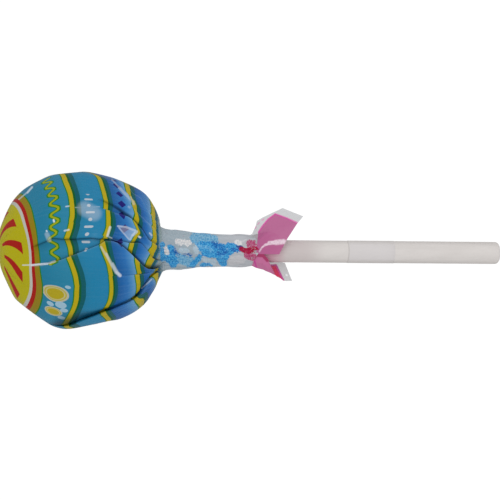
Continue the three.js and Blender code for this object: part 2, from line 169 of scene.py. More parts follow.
# The four printed rings: their stations on a film pulled straight, and how far each is drawn along the
# film in every panel, at the panel's first fold, a third on, two thirds on and at its next fold.
RING_PLACES = (74.0, 98.5, 122.0, 139.0)
RING_SHIFTS = {
    "D": ((2.2, 3.0, 4.9, 4.2), (3.1, 5.5, 5.7, 4.0), (5.6, 5.2, 3.6, 1.0), (2, 2, 2, 2)),
    "E": ((4.2, 2.6, 0, -3.0), (4.0, 1.2, -2.5, -5.2), (2.8, 1.3, -0.4, -1.5), (3, 3, 3, 3)),
    "B": ((-5.1, -3.4, -2.0, -1.0), (-2.2, -1.8, -1.5, -1.2), (-5.6, -5.5, -5.2, -4.8),
          (-7.2, -6.5, -5.3, -4.2)),
    "C": ((-1.0, 0, 0.4, 0.6), (-1.9, 0.5, 1.1, 1.6), (-2.8, 0.0, 1.4, -2.0), (-5.4, -4.5, -2.8, -2.4)),
    "A": ((0.7, -0.2, -0.1, 0.3), (1.4, 1.4, 0.6, -1.6), (-0.2, 0.9, 1.4, 0.5), (-1.6, 0.2, -0.2, -1.6)),
    "P": ((0.4, 0.3, 0.3, 0.2), (-2, -2.6, -3, -3.2), (0.7, 1.3, 1.8, 1.4), (0, 0.7, 1.3, 1.2)),
    "T": ((0, 0, 0, 0), (-6, -5.5, -4.5, -3.5), (-0.7, -0.9, -0.7, -0.2), (1.2, 1.1, 0.9, 0.9)),
    "Q": ((0, 0, -0.5, -1), (-3.5, -3, -2, -1), (-0.5, -0.8, -0.8, -0.8), (1.2, 2.8, 4.2, 3.8)),
    "G": ((1, 0, -1, -2), (0, 1, 0, -2), (1, 2, 0, -2), (3, 3, 1, 0)),
    "H": ((0, 1, 1, 0), (1, 2.5, 1, -1), (1, 3, 2, -2), (2, 3, 1, -2)),
    "I": ((0, 1, 1, -1), (0, 2, 1, -2), (1, 3, 1, -2), (0, 3, 1, -2)),
    "J": ((0, 2, 1, 0), (1, 3, 1, -1), (1, 3, 1, -2), (1, 3, 0, -2)),
    "K": ((0, 4, 8, 4), (0, 9, 9.2, 1.0), (5, 12, 8.6, 3.0), (7, 12.5, 10.4, -1.9)),
}
VALLEY_SHIFTS = {  # across an open valley, from its near to its far side
    "B": ((-1.5, -2.0, -2.8, -4.6), (-4, -3.8, -3.6, -3.4), (-7, -7, -7, -7), (-7.2, -7.2, -7.2, -7.2)),
    "A": ((0.8, 0.8, 0.8, 0.7), (-0.2, 0.3, 0.8, 1.2), (-1.2, -1.0, -0.8, -0.6), (-1.6, -1.6, -1.5, -1.4)),
}
PRINT_STARTS, PRINT_ENDS = 46.0, 176.0  # the print is drawn nowhere before and past these stations


def smooth(x, low, high):
    t = np.clip((np.asarray(x, float) - low) / (high - low), 0, 1)
    return t * t * (3 - 2 * t)


def through(points, x, end_slope=0.0):
    """A smooth curve through points, flat before the first and straight past the last."""
    k, v = np.array(points, float).T
    x = np.asarray(x, float)
    slopes = np.zeros(len(k))
    slopes[1:-1] = (v[2:] - v[:-2]) / (k[2:] - k[:-2])
    slopes[-1] = end_slope
    i = np.clip(np.searchsorted(k, x, side="right") - 1, 0, len(k) - 2)
    span = k[i + 1] - k[i]
    t = np.clip((x - k[i]) / span, 0, 1)
    blend = t * t * (3 - 2 * t)
    y = v[i] + blend * (v[i + 1] - v[i]) + span * t * (1 - t) * ((1 - t) * slopes[i] - t * slopes[i + 1])
    return np.where(x >= k[-1], v[-1] + end_slope * (x - k[-1]), y)


def listed(table, x):
    """A value read off a short table of (place, value) pairs."""
    places, values = np.array(table, float).T
    return np.interp(x, places, values)


def to_world(points):
    """Axial millimetres to world metres."""
    p = np.asarray(points, float)
    c, s = math.cos(TILT), math.sin(TILT)
    x, y, z = p[..., 0], p[..., 1], p[..., 2]
    return np.stack([x * c + z * s, y, -x * s + z * c + REST_HEIGHT], -1) / 1000


def on_picture(points):
    """Where world points are seen in the picture, in its pixels."""
    p = np.asarray(points, float) * 1000 - np.array([0, 0, REST_HEIGHT])
    across, up = p @ VIEW_RIGHT / MM_PER_PIXEL, p @ VIEW_UP / MM_PER_PIXEL
    return np.stack([BALL_PIXEL[0] + across, BALL_PIXEL[1] - up], -1)


# ---------------------------------------------------------------------------------------------------
# Rows and columns of the film's mesh
# ---------------------------------------------------------------------------------------------------

BALL_ROWS, FILLET_ROWS, NECK_ROWS = ((140, 11, 74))
COLUMN_STATION = 105.0  # where the columns are measured
COLUMN_WIDTH = 1.35  # in degrees
HAIR = 0.05  # mm between a lap's edge and its crest
UNDERCUT = 0.4  # mm that the tucked film runs in under the lap
FILM_SCALE = 100.0  # stations to one unit of the "film" layer
BOX_MARGIN = 0.00001
CLOSE_COLUMNS = ((0.12, 0.04), (0.3, 0.1), (0.6, 0.2))  # mm from a fold, and the most as a panel's share


def film_rows():
    """Station, the smooth outline's point and its outward normal, row by row."""
    stations = list(np.linspace(0.35, NECK_STATION, BALL_ROWS))
    reach = BALL_RADIUS + SHOULDER_BULGE * smooth(stations, *SHOULDER_STATIONS)
    angles = np.radians(stations)
    points = [np.array([-r * math.cos(a), r * math.sin(a)]) for r, a in zip(reach, angles)]
    normals = [np.array([-math.cos(a), math.sin(a)]) for a in angles]
    start, corner, end = points[-1], np.array(NECK_FILLET_CORNER), np.array(NECK_START)
    per_mm = math.degrees(1 / BALL_RADIUS)
    for i in range(1, FILLET_ROWS + 1):
        t = i / FILLET_ROWS
        p = (1 - t) ** 2 * start + 2 * t * (1 - t) * corner + t * t * end
        d = (1 - t) * (corner - start) + t * (end - corner)
        d /= np.hypot(*d)
        stations.append(stations[-1] + np.hypot(*(p - points[-1])) * per_mm)
        points.append(p)
        normals.append(np.array([-d[1], d[0]]))
    for i in range(1, NECK_ROWS + 1):
        s = NECK_START[0] + (NECK_END - NECK_START[0]) * i / NECK_ROWS
        r = NECK_START[1] + smooth(s, NECK_START[0] - 1, NECK_WAIST[0]) * (NECK_WAIST[1] - NECK_START[1])
        p = np.array([s, float(r)])
        stations.append(stations[-1] + np.hypot(*(p - points[-1])) * per_mm)
        points.append(p)
        normals.append(np.array([0.0, 1.0]))
    return np.array(stations), np.array(points), np.array(normals)


STATION, OUTLINE, OUTWARD = film_rows()
N_ROWS = len(STATION)
PER_MM = np.degrees(1 / np.maximum(OUTLINE[:, 1], 1.5))  # degrees of azimuth in a millimetre, by row
LINES = {name: through(fold["line"], STATION, NECK_TWIST) for name, fold in FOLDS.items()}
GAPS = {name: listed(fold.get("gap", ((0, 0.5),)), STATION) for name, fold in FOLDS.items()}


def growth(fold, station):
    """How far a fold's lap has grown at a station."""
    return smooth(station, fold["starts"], fold["starts"] + LIFT_LENGTH)


class Columns:
    """The film's columns: for each, its azimuths, its panel, its place there and what it does."""

    def __init__(self):
        self.azimuth, self.kind, self.panel, self.place = [], [], [], []
        for i, name in enumerate(NAMES):
            self.fold(i, name)
            self.between(i, name)
        self.azimuth = np.array(self.azimuth).T
        self.place = np.array(self.place).T

    def add(self, azimuth, kind, panel, place):
        self.azimuth.append(azimuth)
        self.kind.append(kind)
        self.panel.append(panel % len(NAMES))
        self.place.append(np.broadcast_to(np.asarray(place, float), (N_ROWS,)).copy())

    def fold(self, i, name):
        fold, line, gap = FOLDS[name], LINES[name], GAPS[name]
        hair = HAIR * PER_MM
        before = NAMES[i - 1]
        room = (line - LINES[before]) % 360 - GAPS[before]
        undercut = np.minimum(UNDERCUT * PER_MM * growth(fold, STATION), 0.4 * room)
        self.add(line - hair, "crest", i - 1, 1.0)
        self.add(line, "edge", i - 1, 1.0)
        self.add(line - undercut * (1 - smooth(STATION, 140, 156)), "tuck", i, 0.0)
        shares = [0.0, 1.0]
        if "groove" in fold:
            close = np.minimum(0.16 * PER_MM / gap, 0.12), np.minimum(0.4 * PER_MM / gap, 0.25)
            shares = [0.0, close[0], close[1], 0.5, 1 - close[1], 1 - close[0], 1.0]
        for share in shares:
            self.add(line + hair + (gap - 2 * hair) * share, "floor", i, share)

    def between(self, i, name):
        following = NAMES[(i + 1) % len(NAMES)]
        beyond = LINES[following] + (360 if i + 1 == len(NAMES) else 0) - HAIR * PER_MM
        first = LINES[name] + GAPS[name] + HAIR * PER_MM
        width = beyond - first
        closer = [np.minimum(mm * PER_MM / width, most) for mm, most in CLOSE_COLUMNS]
        at = int(np.searchsorted(STATION, COLUMN_STATION))
        count = max(3, int(round(width[at] * (1 - 2 * closer[-1][at]) / COLUMN_WIDTH)))
        shares = [np.zeros(N_ROWS)] + closer
        shares += [closer[-1] + (1 - 2 * closer[-1]) * j / count for j in range(1, count)]
        shares += [1 - c for c in reversed(closer)]
        for share in shares:
            self.add(first + width * share, "panel", i, share)


COLUMNS = Columns()
AZ, PLACE = COLUMNS.azimuth, COLUMNS.place
N_COLS = len(COLUMNS.kind)
STA = np.repeat(STATION[:, None], N_COLS, 1)
ON_NECK = smooth(STATION, NECK_STATION - 4, NECK_STATION + 22)[:, None]
ON_BALL = (STATION <= NECK_STATION)[:, None]


def wrapped(angle):
    return (angle + 180) % 360 - 180


def fold_relief(azimuth):
    """Height of all the laps at azimuths given row by row."""
    fade = (1 - 0.75 * smooth(STATION, 146, 168))[:, None]
    azimuth = azimuth if azimuth.ndim == 2 else azimuth[:, None]
    height = np.zeros(azimuth.shape)
    for name, fold in FOLDS.items():
        away = wrapped(azimuth - LINES[name][:, None])
        lift = fold["lift"] * fade * growth(fold, STATION)[:, None]
        height += np.where(away < 0, lift * np.exp(np.minimum(away, 0) / LAP_REACH),
                           -lift * TUCK_SHARE * np.exp(-np.maximum(away, 0) / TUCK_REACH))
    return height


def direction(station, azimuth):
    s, a = np.radians(station), np.radians(azimuth)
    return np.stack([-np.cos(s) * np.ones_like(a), np.sin(s) * np.sin(a), np.sin(s) * np.cos(a)], -1)


PLANES = [(direction(np.float64(s), np.float64(a)), d) for s, a, d in FACETS]


def facet_relief(station, azimuth):
    """How far the flat stretches cut into the ball, with softened edges between them."""
    here = direction(station, azimuth)
    total = np.ones(here.shape[:-1])
    for facing, distance in PLANES:
        share = here @ facing
        near = share > 0.5
        inside = BALL_RADIUS - distance / np.where(near, share, 1)
        total += np.where(near, np.exp(inside / FACET_SOFTNESS), 0)
    return -FACET_SOFTNESS * np.log(total)


# Fine gathers: how many to a panel, or round the neck, then depth and offset.
PANEL_GATHERS = ((2.0, 0.03, 0.11), (3.3, 0.022, 0.53), (5.2, 0.014, 0.29))
NECK_GATHERS = ((9, 0.05, 0.2), (14, 0.04, 0.7), (23, 0.025, 0.4))
SLACK_DEPTH = 0.02  # of the faint long waves of slack film


def zigzag(x):
    return 1 - 2 * np.abs(2 * (x - np.floor(x)) - 1)


def film_height():
    """The film's height over its smooth outline at every vertex."""
    folds = fold_relief(AZ)
    for c, kind in enumerate(COLUMNS.kind):
        if kind == "panel":
            continue
        name = NAMES[(COLUMNS.panel[c] + (kind in ("crest", "edge"))) % len(NAMES)]
        fold, line, gap, hair = FOLDS[name], LINES[name], GAPS[name], HAIR * PER_MM
        high = fold_relief(line - hair)[:, 0]
        low = fold_relief(line + gap + hair)[:, 0]
        floor = np.minimum(high, low) - fold.get("groove", 0.05) * growth(fold, STATION)
        folds[:, c] = {"crest": high, "edge": high - 0.35 * (high - floor)}.get(kind, floor)
    height = folds * (1 - 0.8 * ON_NECK) + np.where(ON_BALL, facet_relief(STA, AZ) * (1 - ON_NECK), 0)
    # fine gathers that run with the folds and grow towards the neck
    gather = smooth(STATION, 100, 150)[:, None]
    across = np.array(COLUMNS.panel)[None, :] + PLACE
    fine = sum(depth * zigzag(across * count + offset * 7 + 0.6 * np.sin(STA / 17 + offset * 9))
               for count, depth, offset in PANEL_GATHERS)
    fine = fine * np.minimum(1, 6 * np.minimum(PLACE, 1 - PLACE))
    height += fine * gather * (1 - ON_NECK)
    waves = np.sin(np.radians(AZ) * 9 + STA / 11) * np.sin(np.radians(STA) * 5 + 1)
    return height + SLACK_DEPTH * waves * (1 - ON_NECK)


def neck_relief():
    """The neck's ridges, lumps and twisted gathers, as a height over its smooth outline."""
    turn, along = np.radians(AZ), OUTLINE[:, 0:1]
    ridges = 0.13 * np.sin(5 * turn + 0.35 * along)
    lumps = 0.12 * np.sin(0.9 * along + 2 * np.sin(turn)) * np.cos(turn - 0.25 * along)
    twist = turn + np.radians(STA - 160)
    fine = 0
    for count, depth, offset in NECK_GATHERS:
        sway = 0.25 * np.sin(along * 1.6 * offset + 20 * offset)
        fine = fine + depth * zigzag(twist * count / (2 * math.pi) + offset + sway)
    return (ridges + lumps + fine) * ON_NECK


def by_station(value):
    """A fold's value on every row, whether it is one number or a table."""
    return listed(value, STATION) if isinstance(value, tuple) else np.full(N_ROWS, float(value))


SHADE_GROWTH = 8.0  # stations in which a fold's shade sets in
NEAR_FADE, FAR_FADE, CREST_FADE = 0.22, 0.3, 0.14  # mm in which the painted shade or the painted highlight fades


def film_shade():
    """How deep the painted shade in a crease, and how strong the painted highlight on a crest, is at each
    vertex.
    """
    crease_shade, crest_highlight = np.zeros_like(AZ), np.zeros_like(AZ)
    for c, kind in enumerate(COLUMNS.kind):
        i = COLUMNS.panel[c]
        own, following = NAMES[i], NAMES[(i + 1) % len(NAMES)]
        fold = FOLDS[following if kind in ("crest", "edge") else own]
        grow = smooth(STATION, fold["starts"], fold["starts"] + SHADE_GROWTH)
        near_shade = by_station(fold["near"])
        away = wrapped(AZ[:, c] - LINES[own] - GAPS[own]) / PER_MM
        short = wrapped(LINES[following] - AZ[:, c]) / PER_MM
        if kind == "crest":
            crest_highlight[:, c] = fold.get("crest", 0.1) * grow
        elif kind == "edge":
            crease_shade[:, c] = 0.5 * near_shade * grow
        elif kind in ("tuck", "floor"):
            width = GAPS[own] / PER_MM
            near = near_shade * np.exp(-PLACE[:, c] * width / NEAR_FADE)
            far = fold.get("far", near_shade) * np.exp(-(1 - PLACE[:, c]) * width / FAR_FADE)
            crease_shade[:, c] = np.maximum(near, far) * grow
        else:
            reach = listed(fold["reach"], STATION)
            fading = 1 - smooth(np.maximum(away, 0) / reach, 0.25, 1)
            crease_shade[:, c] = by_station(fold["after"]) * fading * grow
            beyond = FOLDS[following]
            near_end = np.exp(-np.maximum(short, 0) / CREST_FADE)
            grown = smooth(STATION, beyond["starts"], beyond["starts"] + SHADE_GROWTH)
            crest_highlight[:, c] = beyond.get("crest", 0.1) * near_end * grown
    fade = 1 - 0.88 * smooth(STATION, 144, 156)[:, None]
    return crease_shade * fade, crest_highlight * fade


def eased(values, t):
    """A smooth curve through four values at t = 0, 1/3, 2/3 and 1."""
    v = [2 * values[0] - values[1], *values, 2 * values[3] - values[2]]
    x = np.clip(t, 0, 1) * 3
    i = np.clip(np.floor(x).astype(int), 0, 2)
    f = x - i
    p = np.array(v, float)
    a, b, c, d = p[i], p[i + 1], p[i + 2], p[i + 3]
    square, cube = 2 * a - 5 * b + 4 * c - d, 3 * b - a - 3 * c + d
    return 0.5 * (2 * b + (c - a) * f + square * f ** 2 + cube * f ** 3)


def print_places():
    """The station that each vertex's print has on a film pulled straight."""
    straight = np.zeros_like(AZ)
    knots = np.array((PRINT_STARTS,) + RING_PLACES + (PRINT_ENDS,))
    for c, kind in enumerate(COLUMNS.kind):
        name = NAMES[COLUMNS.panel[c]]
        rings = RING_SHIFTS[name]
        if kind in ("tuck", "floor"):
            before = RING_SHIFTS[NAMES[COLUMNS.panel[c] - 1]]
            rings = VALLEY_SHIFTS.get(name) or [(b[3], b[3], a[0], a[0]) for a, b in zip(rings, before)]
        drawn = np.stack([place + eased(ring, PLACE[:, c]) for place, ring in zip(RING_PLACES, rings)])
        places = np.vstack([np.full(N_ROWS, PRINT_STARTS), drawn, np.full(N_ROWS, PRINT_ENDS)])
        value = np.minimum(STATION, PRINT_STARTS)
        for k in range(len(knots) - 1):
            share = np.clip((STATION - places[k]) / (places[k + 1] - places[k]), 0, 1)
            value = value + share * (knots[k + 1] - knots[k])
        straight[:, c] = value + np.maximum(STATION - PRINT_ENDS, 0)
    return straight


def film_points(height):
    """The film's vertices: the outline raised by the height, with a ragged end and the neck's lean."""
    r = OUTLINE[:, 1:2] + OUTWARD[:, 1:2] * height
    share = smooth(OUTLINE[:, 0], NECK_START[0], NECK_END)[:, None]
    ragged = 0.45 * share ** 4 * np.sin(3 * np.radians(AZ) + 1)
    x = OUTLINE[:, 0:1] + OUTWARD[:, 0:1] * height + ragged
    a = np.radians(AZ)
    return np.stack([x, r * np.sin(a) + NECK_LEAN * share, r * np.cos(a)], -1)


def make_mesh(name, verts, faces, uvs=None, smooth_angle=42):
    mesh = bpy.data.meshes.new(name)
    mesh.from_pydata([tuple(v) for v in verts], [], faces)
    loops = np.zeros(len(mesh.loops), dtype=np.int32)
    mesh.loops.foreach_get("vertex_index", loops)
    for key, values in (uvs or {}).items():
        layer = mesh.uv_layers.new(name=key)
        layer.data.foreach_set("uv", np.asarray(values, float)[loops].ravel())
    mesh.polygons.foreach_set("use_smooth", [True] * len(mesh.polygons))
    mesh.set_sharp_from_angle(angle=math.radians(smooth_angle))
    mesh.update()
    piece = bpy.data.objects.new(name, mesh)
    bpy.context.scene.collection.objects.link(piece)
    return piece


def grid_faces(rows, cols, closed):
    faces = []
    for r in range(rows - 1):
        for c in range(cols if closed else cols - 1):
            d = (c + 1) % cols
            faces.append((r * cols + c, (r + 1) * cols + c, (r + 1) * cols + d, r * cols + d))
    return faces


def film_piece():
    height = film_height() + neck_relief()
    world = to_world(film_points(height)).reshape(-1, 3)
    pole = BALL_RADIUS + float(facet_relief(np.float64(0.0), np.float64(0.0)))
    world = np.vstack([world, to_world([[-pole, 0, 0]])])
    world = np.clip(world, np.array(cad_box[0]) + BOX_MARGIN, np.array(cad_box[1]) - BOX_MARGIN)
    top = N_ROWS * N_COLS
    faces = grid_faces(N_ROWS, N_COLS, True) + [(top, c, (c + 1) % N_COLS) for c in range(N_COLS)]
    straight, turn = print_places(), np.radians(AZ)
    printed = np.stack([straight * np.cos(turn), straight * np.sin(turn)], -1).reshape(-1, 2) / FILM_SCALE
    crease_shade, crest_highlight = film_shade()
    shade = np.stack([crease_shade.ravel(), crest_highlight.ravel()], -1)
    uvs = {
        "film": np.vstack([printed, [[0, 0]]]),
        "crease": np.vstack([shade, [[0, 0]]]),
        "view": on_picture(world) / PICTURE,
        "side": np.stack([np.append(np.cos(turn).ravel(), 0), np.zeros(top + 1)], -1),
    }
    return make_mesh("film", world, faces, uvs)


film = film_piece()

# ---------------------------------------------------------------------------------------------------
# Shader helpers
# ---------------------------------------------------------------------------------------------------


def linear(rgb):
    out = []
    for v in rgb:
        v /= 255
        out.append(v / 12.92 if v <= 0.04045 else ((v + 0.055) / 1.055) ** 2.4)
    return (*out, 1.0)


class Nodes:
    """A short way to write node graphs. Values may be numbers, colours or other nodes' outputs."""

    def __init__(self, owner, output="ShaderNodeOutputMaterial"):
        self.owner = owner
        owner.use_nodes = True
        self.tree = owner.node_tree
        self.tree.nodes.clear()
        self.output = self.tree.nodes.new(output)

    def link(self, source, target):
        if isinstance(source, (int, float, tuple)):
            target.default_value = source
        else:
            self.tree.links.new(source, target)

    def add(self, kind, inputs=(), **settings):
        n = self.tree.nodes.new(kind)
        for key, value in settings.items():
            setattr(n, key, value)
        for key, value in dict(inputs).items():
            self.link(value, n.inputs[key])
        return n

    def math(self, operation, *values):
        return self.add("ShaderNodeMath", enumerate(values), operation=operation).outputs[0]

    times = partialmethod(math, "MULTIPLY")
    plus = partialmethod(math, "ADD")
    minus = partialmethod(math, "SUBTRACT")
    scaled = partialmethod(math, "MULTIPLY_ADD")
    larger = partialmethod(math, "MAXIMUM")
    smaller = partialmethod(math, "MINIMUM")
    over = partialmethod(math, "GREATER_THAN")
    under = partialmethod(math, "LESS_THAN")
    size = partialmethod(math, "ABSOLUTE")

    def linear(self, x, y, a, b, c):
        """a * x + b * y + c"""
        return self.scaled(x, a, self.scaled(y, b, c))

    def squares(self, x, y):
        return self.scaled(x, x, self.times(y, y))

    def span(self, value, low, high, out_low=0.0, out_high=1.0, curve="SMOOTHSTEP"):
        inputs = {"Value": value, "From Min": low, "From Max": high, "To Min": out_low, "To Max": out_high}
        return self.add("ShaderNodeMapRange", inputs, interpolation_type=curve).outputs[0]

    def uv(self, name):
        return self.add("ShaderNodeUVMap", uv_map=name).outputs[0]

    def split(self, vector):
        return self.add("ShaderNodeSeparateXYZ", {0: vector}).outputs

    def noise(self, vector, scale, detail=2.0, roughness=0.5, seed=0.0):
        inputs = {"Vector": vector, "W": seed, "Scale": scale, "Detail": detail, "Roughness": roughness}
        return self.add("ShaderNodeTexNoise", inputs, noise_dimensions="4D").outputs["Fac"]

    def line_noise(self, place, scale, detail=2.0, roughness=0.5):
        inputs = {"W": place, "Scale": scale, "Detail": detail, "Roughness": roughness}
        return self.add("ShaderNodeTexNoise", inputs, noise_dimensions="1D").outputs["Fac"]

    def ramp(self, value, stops, mode="LINEAR"):
        n = self.tree.nodes.new("ShaderNodeValToRGB")
        n.color_ramp.interpolation = mode
        elements = n.color_ramp.elements
        while len(elements) < len(stops):
            elements.new(0.5)
        for e, (at, colour) in zip(elements, stops):
            e.position = at
            e.color = colour
        self.link(value, n.inputs["Fac"])
        return n.outputs["Color"], n.outputs["Alpha"]

    def mix(self, factor, a, b, blend="MIX"):
        inputs = {"Factor": factor, 6: a, 7: b}
        return self.add("ShaderNodeMix", inputs, data_type="RGBA", blend_type=blend).outputs[2]

    def blend(self, factor, a, b):
        return self.add("ShaderNodeMix", {"Factor": factor, 2: a, 3: b}, data_type="FLOAT").outputs[0]

    def bump(self, height, strength, distance):
        inputs = {"Strength": strength, "Distance": distance, "Height": height}
        return self.add("ShaderNodeBump", inputs).outputs["Normal"]

    def surface(self, base, roughness, alpha, normal, specular):
        inputs = {"Base Color": base, "Roughness": roughness, "Alpha": alpha, "Normal": normal,
                  "Specular IOR Level": specular}
        return self.finish(self.add("ShaderNodeBsdfPrincipled", inputs))

    def finish(self, shader):
        self.tree.links.new(shader.outputs[0], self.output.inputs["Surface"])
        return self.owner


def new_material(name):
    return Nodes(bpy.data.materials.new(name))


def on_pixels(n, view):
    """x and y on the picture, in its pixels, from the "view" layer."""
    x, y, _ = n.split(view)
    return n.times(x, PICTURE), n.times(y, PICTURE)


# ---------------------------------------------------------------------------------------------------
# The film's print
# ---------------------------------------------------------------------------------------------------

YELLOW = linear((178, 160, 16))
GREEN = linear((38, 120, 34))
DARK_GREEN = linear((20, 92, 44))
TEAL = linear((18, 90, 98))
CAP_YELLOW = linear((172, 165, 8))
WHITE = linear((180, 180, 172))
RED = linear((160, 22, 13))
GOLD = linear((140, 120, 20))
NAVY = linear((30, 28, 112))
CLEAR = (0.0, 0.0, 0.0, 0.0)
RAMP_SPAN = 200.0  # stations that a colour ramp covers
RING_EDGE = 0.8  # the thin green line before each ring
RING_BANDS = ((3.2, 1.7, 2.9), (3.4, 1.3, 2.9), (3.4, 1.0, 2.2), (4.0, 0.7, 2.9))  # yellow, green, teal
GROUNDS = (  # the film's own colour by station
    (0, (34, 118, 149)), (56, (34, 120, 152)), (72, (42, 128, 160)), (80, (36, 118, 152)),
    (86, (32, 124, 164)), (97, (34, 126, 168)), (106, (26, 88, 148)), (110, (32, 98, 164)),
    (115, (44, 112, 178)), (118.5, (70, 134, 190)), (121.5, (98, 152, 196)), (129, (26, 86, 148)),
    (132, (34, 102, 172)), (135.5, (64, 124, 184)), (138.8, (112, 156, 192)), (147, (60, 112, 150)),
)


def stroke(n, x, y, ax, ay, bx, by, reach, strength, core=0.0):
    """How strong a soft stroke from a to b is at a place on the picture; it ends "reach" away."""
    length = max(math.hypot(bx - ax, by - ay), 1e-6)
    tx, ty = (bx - ax) / length, (by - ay) / length
    mx, my = (ax + bx) / 2, (ay + by) / 2
    along = n.size(n.linear(x, y, tx, ty, -mx * tx - my * ty))
    beyond = n.larger(n.minus(along, length / 2), 0.0)
    across = n.linear(x, y, -ty, tx, mx * ty - my * tx)
    return n.span(n.squares(beyond, across), core ** 2, reach ** 2, strength, 0.0)


def strokes(n, x, y, lines, result=0.0):
    """The strongest of many strokes: each (from x, y, to x, y, reach, strength) and maybe a flat core."""
    for line in lines:
        result = n.larger(result, stroke(n, x, y, *line))
    return result


def chain(points, *rest):
    """A stroke from each point to the next, all with the same reach, strength and core."""
    return [(*a, *b, *rest) for a, b in zip(points, points[1:])]


def within(n, x, y, corners, soft=0.6):
    """1 inside a convex polygon on the picture whose corners go round clockwise as seen, 0 outside."""
    inside = 1000.0
    for (ax, ay), (bx, by) in zip(corners, corners[1:] + corners[:1]):
        length = math.hypot(bx - ax, by - ay)
        nx, ny = -(by - ay) / length, (bx - ax) / length
        inside = n.smaller(inside, n.linear(x, y, nx, ny, -nx * ax - ny * ay))
    return n.span(inside, -soft / 2, soft / 2)


# Ornaments, in stations and degrees of azimuth, which are as long at the ball's widest.
WAVE = dict(station=63.5, swing=2.6, turn=10.5, shown=(-13.0, 76.0), half=0.85, edged=1.75)
BARS = dict(station=88.0, spacing=11.0, shown=(-3.0, 44.0), half=2.2, wide=0.85, dot=1.3)
DIAMONDS = dict(station=113.5, spacing=11.0, shown=(0.0, 72.0), size=3.3)
WAVE_YELLOW, BAR_WHITE = linear((150, 158, 20)), linear((176, 186, 196))


def print_ornament(n, colour, radius, azimuth):
    """Rows of small plain ornaments between the rings."""

    def row(made, phase=0.0):
        """Where a place is, seen from the nearest of a row of ornaments."""
        turn = n.math("FRACT", n.scaled(azimuth, 1 / made["spacing"], 100.0 + phase))
        wide = made["spacing"] * math.sin(math.radians(made["station"]))
        return n.scaled(turn, wide, -wide / 2), n.minus(radius, made["station"])

    def bar(across, along, half, wide):
        beyond = n.larger(n.minus(n.size(along), half), 0.0)
        return n.under(n.squares(across, beyond), wide ** 2)

    def between(low, high):
        return n.times(n.over(azimuth, low), n.under(azimuth, high))

    # a yellow-green wave with a green edge on the upper side
    turn = n.times(azimuth, 2 * math.pi / WAVE["turn"])
    lean = n.times(n.math("COSINE", turn), 1.6)
    slope = n.math("SQRT", n.scaled(lean, lean, 1.0))
    from_wave = n.minus(n.scaled(n.math("SINE", turn), -WAVE["swing"], radius), WAVE["station"])
    off = n.size(n.math("DIVIDE", from_wave, slope))
    off = n.minus(off, n.scaled(between(*WAVE["shown"]), 10.0, -10.0))
    colour = n.mix(n.under(off, WAVE["edged"]), colour, GREEN)
    colour = n.mix(n.under(off, WAVE["half"]), colour, WAVE_YELLOW)
    # white bars and dots in turn
    shown = between(*BARS["shown"])
    for phase, half, wide in ((0.0, BARS["half"], BARS["wide"]), (0.5, 0.0, BARS["dot"])):
        across, along = row(BARS, phase)
        colour = n.mix(n.times(bar(across, along, half, wide), shown), colour, BAR_WHITE)
    # navy diamonds
    across, along = row(DIAMONDS)
    inside = n.under(n.plus(n.size(across), n.size(along)), DIAMONDS["size"])
    return n.mix(n.times(inside, between(*DIAMONDS["shown"])), colour, NAVY)


LARGE_DISC = ((1.0, (176, 176, 160)), (0.85, (176, 164, 60)), (0.74, (184, 178, 130)),
              (0.64, (172, 156, 30)))
BUBBLE = ((1.0, (150, 182, 200)),)
DISCS = (  # station, azimuth in the group, radius, and the rings' share of it and tones
    (62.5, 0, 8.6, LARGE_DISC), (64, -19, 6.0, LARGE_DISC), (67, -9.5, 3.6, BUBBLE), (70, -14, 2.6, BUBBLE),
    (60.5, -11.5, 2.4, BUBBLE), (71, -24, 2.8, BUBBLE), (70, 8, 1.8, BUBBLE),
)
DISC_GROUPS = (-38, -110, -182, -254)  # azimuths


def print_discs(n, colour, u, v):
    """Yellow discs with pale rims and small pale bubbles, spaced round the ball."""
    for turn in DISC_GROUPS:
        for station, azimuth, size, tones in DISCS:
            angle = math.radians(azimuth + turn)
            across = n.minus(u, station * math.cos(angle))
            along = n.minus(v, station * math.sin(angle))
            off = n.squares(across, along)
            for share, tone in tones:
                colour = n.mix(n.under(off, (size * share) ** 2), colour, linear(tone))
    return colour


CAP_MIDDLE = (6, -70)  # station and azimuth
CAP_SPAN = 60.0
CAP_RINGS = ((0, CAP_YELLOW), (39.0, WHITE), (41.3, RED), (44.2, GOLD), (48.4, GREEN), (49.4, CLEAR))
CAP_ARMS, CAP_SWEEP = 9, 1.5
CAP_ARM_REACH = (12.0, 33.0)


def print_cap(n, colour, u, v):
    """The round cap with its own rings and a plain pinwheel, a little off the middle."""
    station, azimuth = CAP_MIDDLE
    x = n.minus(u, station * math.cos(math.radians(azimuth)))
    y = n.minus(v, station * math.sin(math.radians(azimuth)))
    radius = n.math("SQRT", n.squares(x, y))
    azimuth = n.math("DEGREES", n.math("ARCTAN2", y, x))
    stops = [(at / CAP_SPAN, tone) for at, tone in CAP_RINGS]
    cap, mask = n.ramp(n.math("DIVIDE", radius, CAP_SPAN), stops, "CONSTANT")
    colour = n.mix(mask, colour, cap)
    swirled = n.scaled(radius, CAP_SWEEP, azimuth)
    turn = n.math("FRACT", n.scaled(swirled, CAP_ARMS / 360, 100.0))
    across = n.size(n.minus(turn, 0.5))
    low, high = CAP_ARM_REACH
    arm = n.under(across, n.span(radius, 10.0, high, 0.12, 0.2, "LINEAR"))
    within_cap = n.times(n.over(radius, low), n.under(radius, high))
    return n.mix(n.times(arm, within_cap), colour, RED)


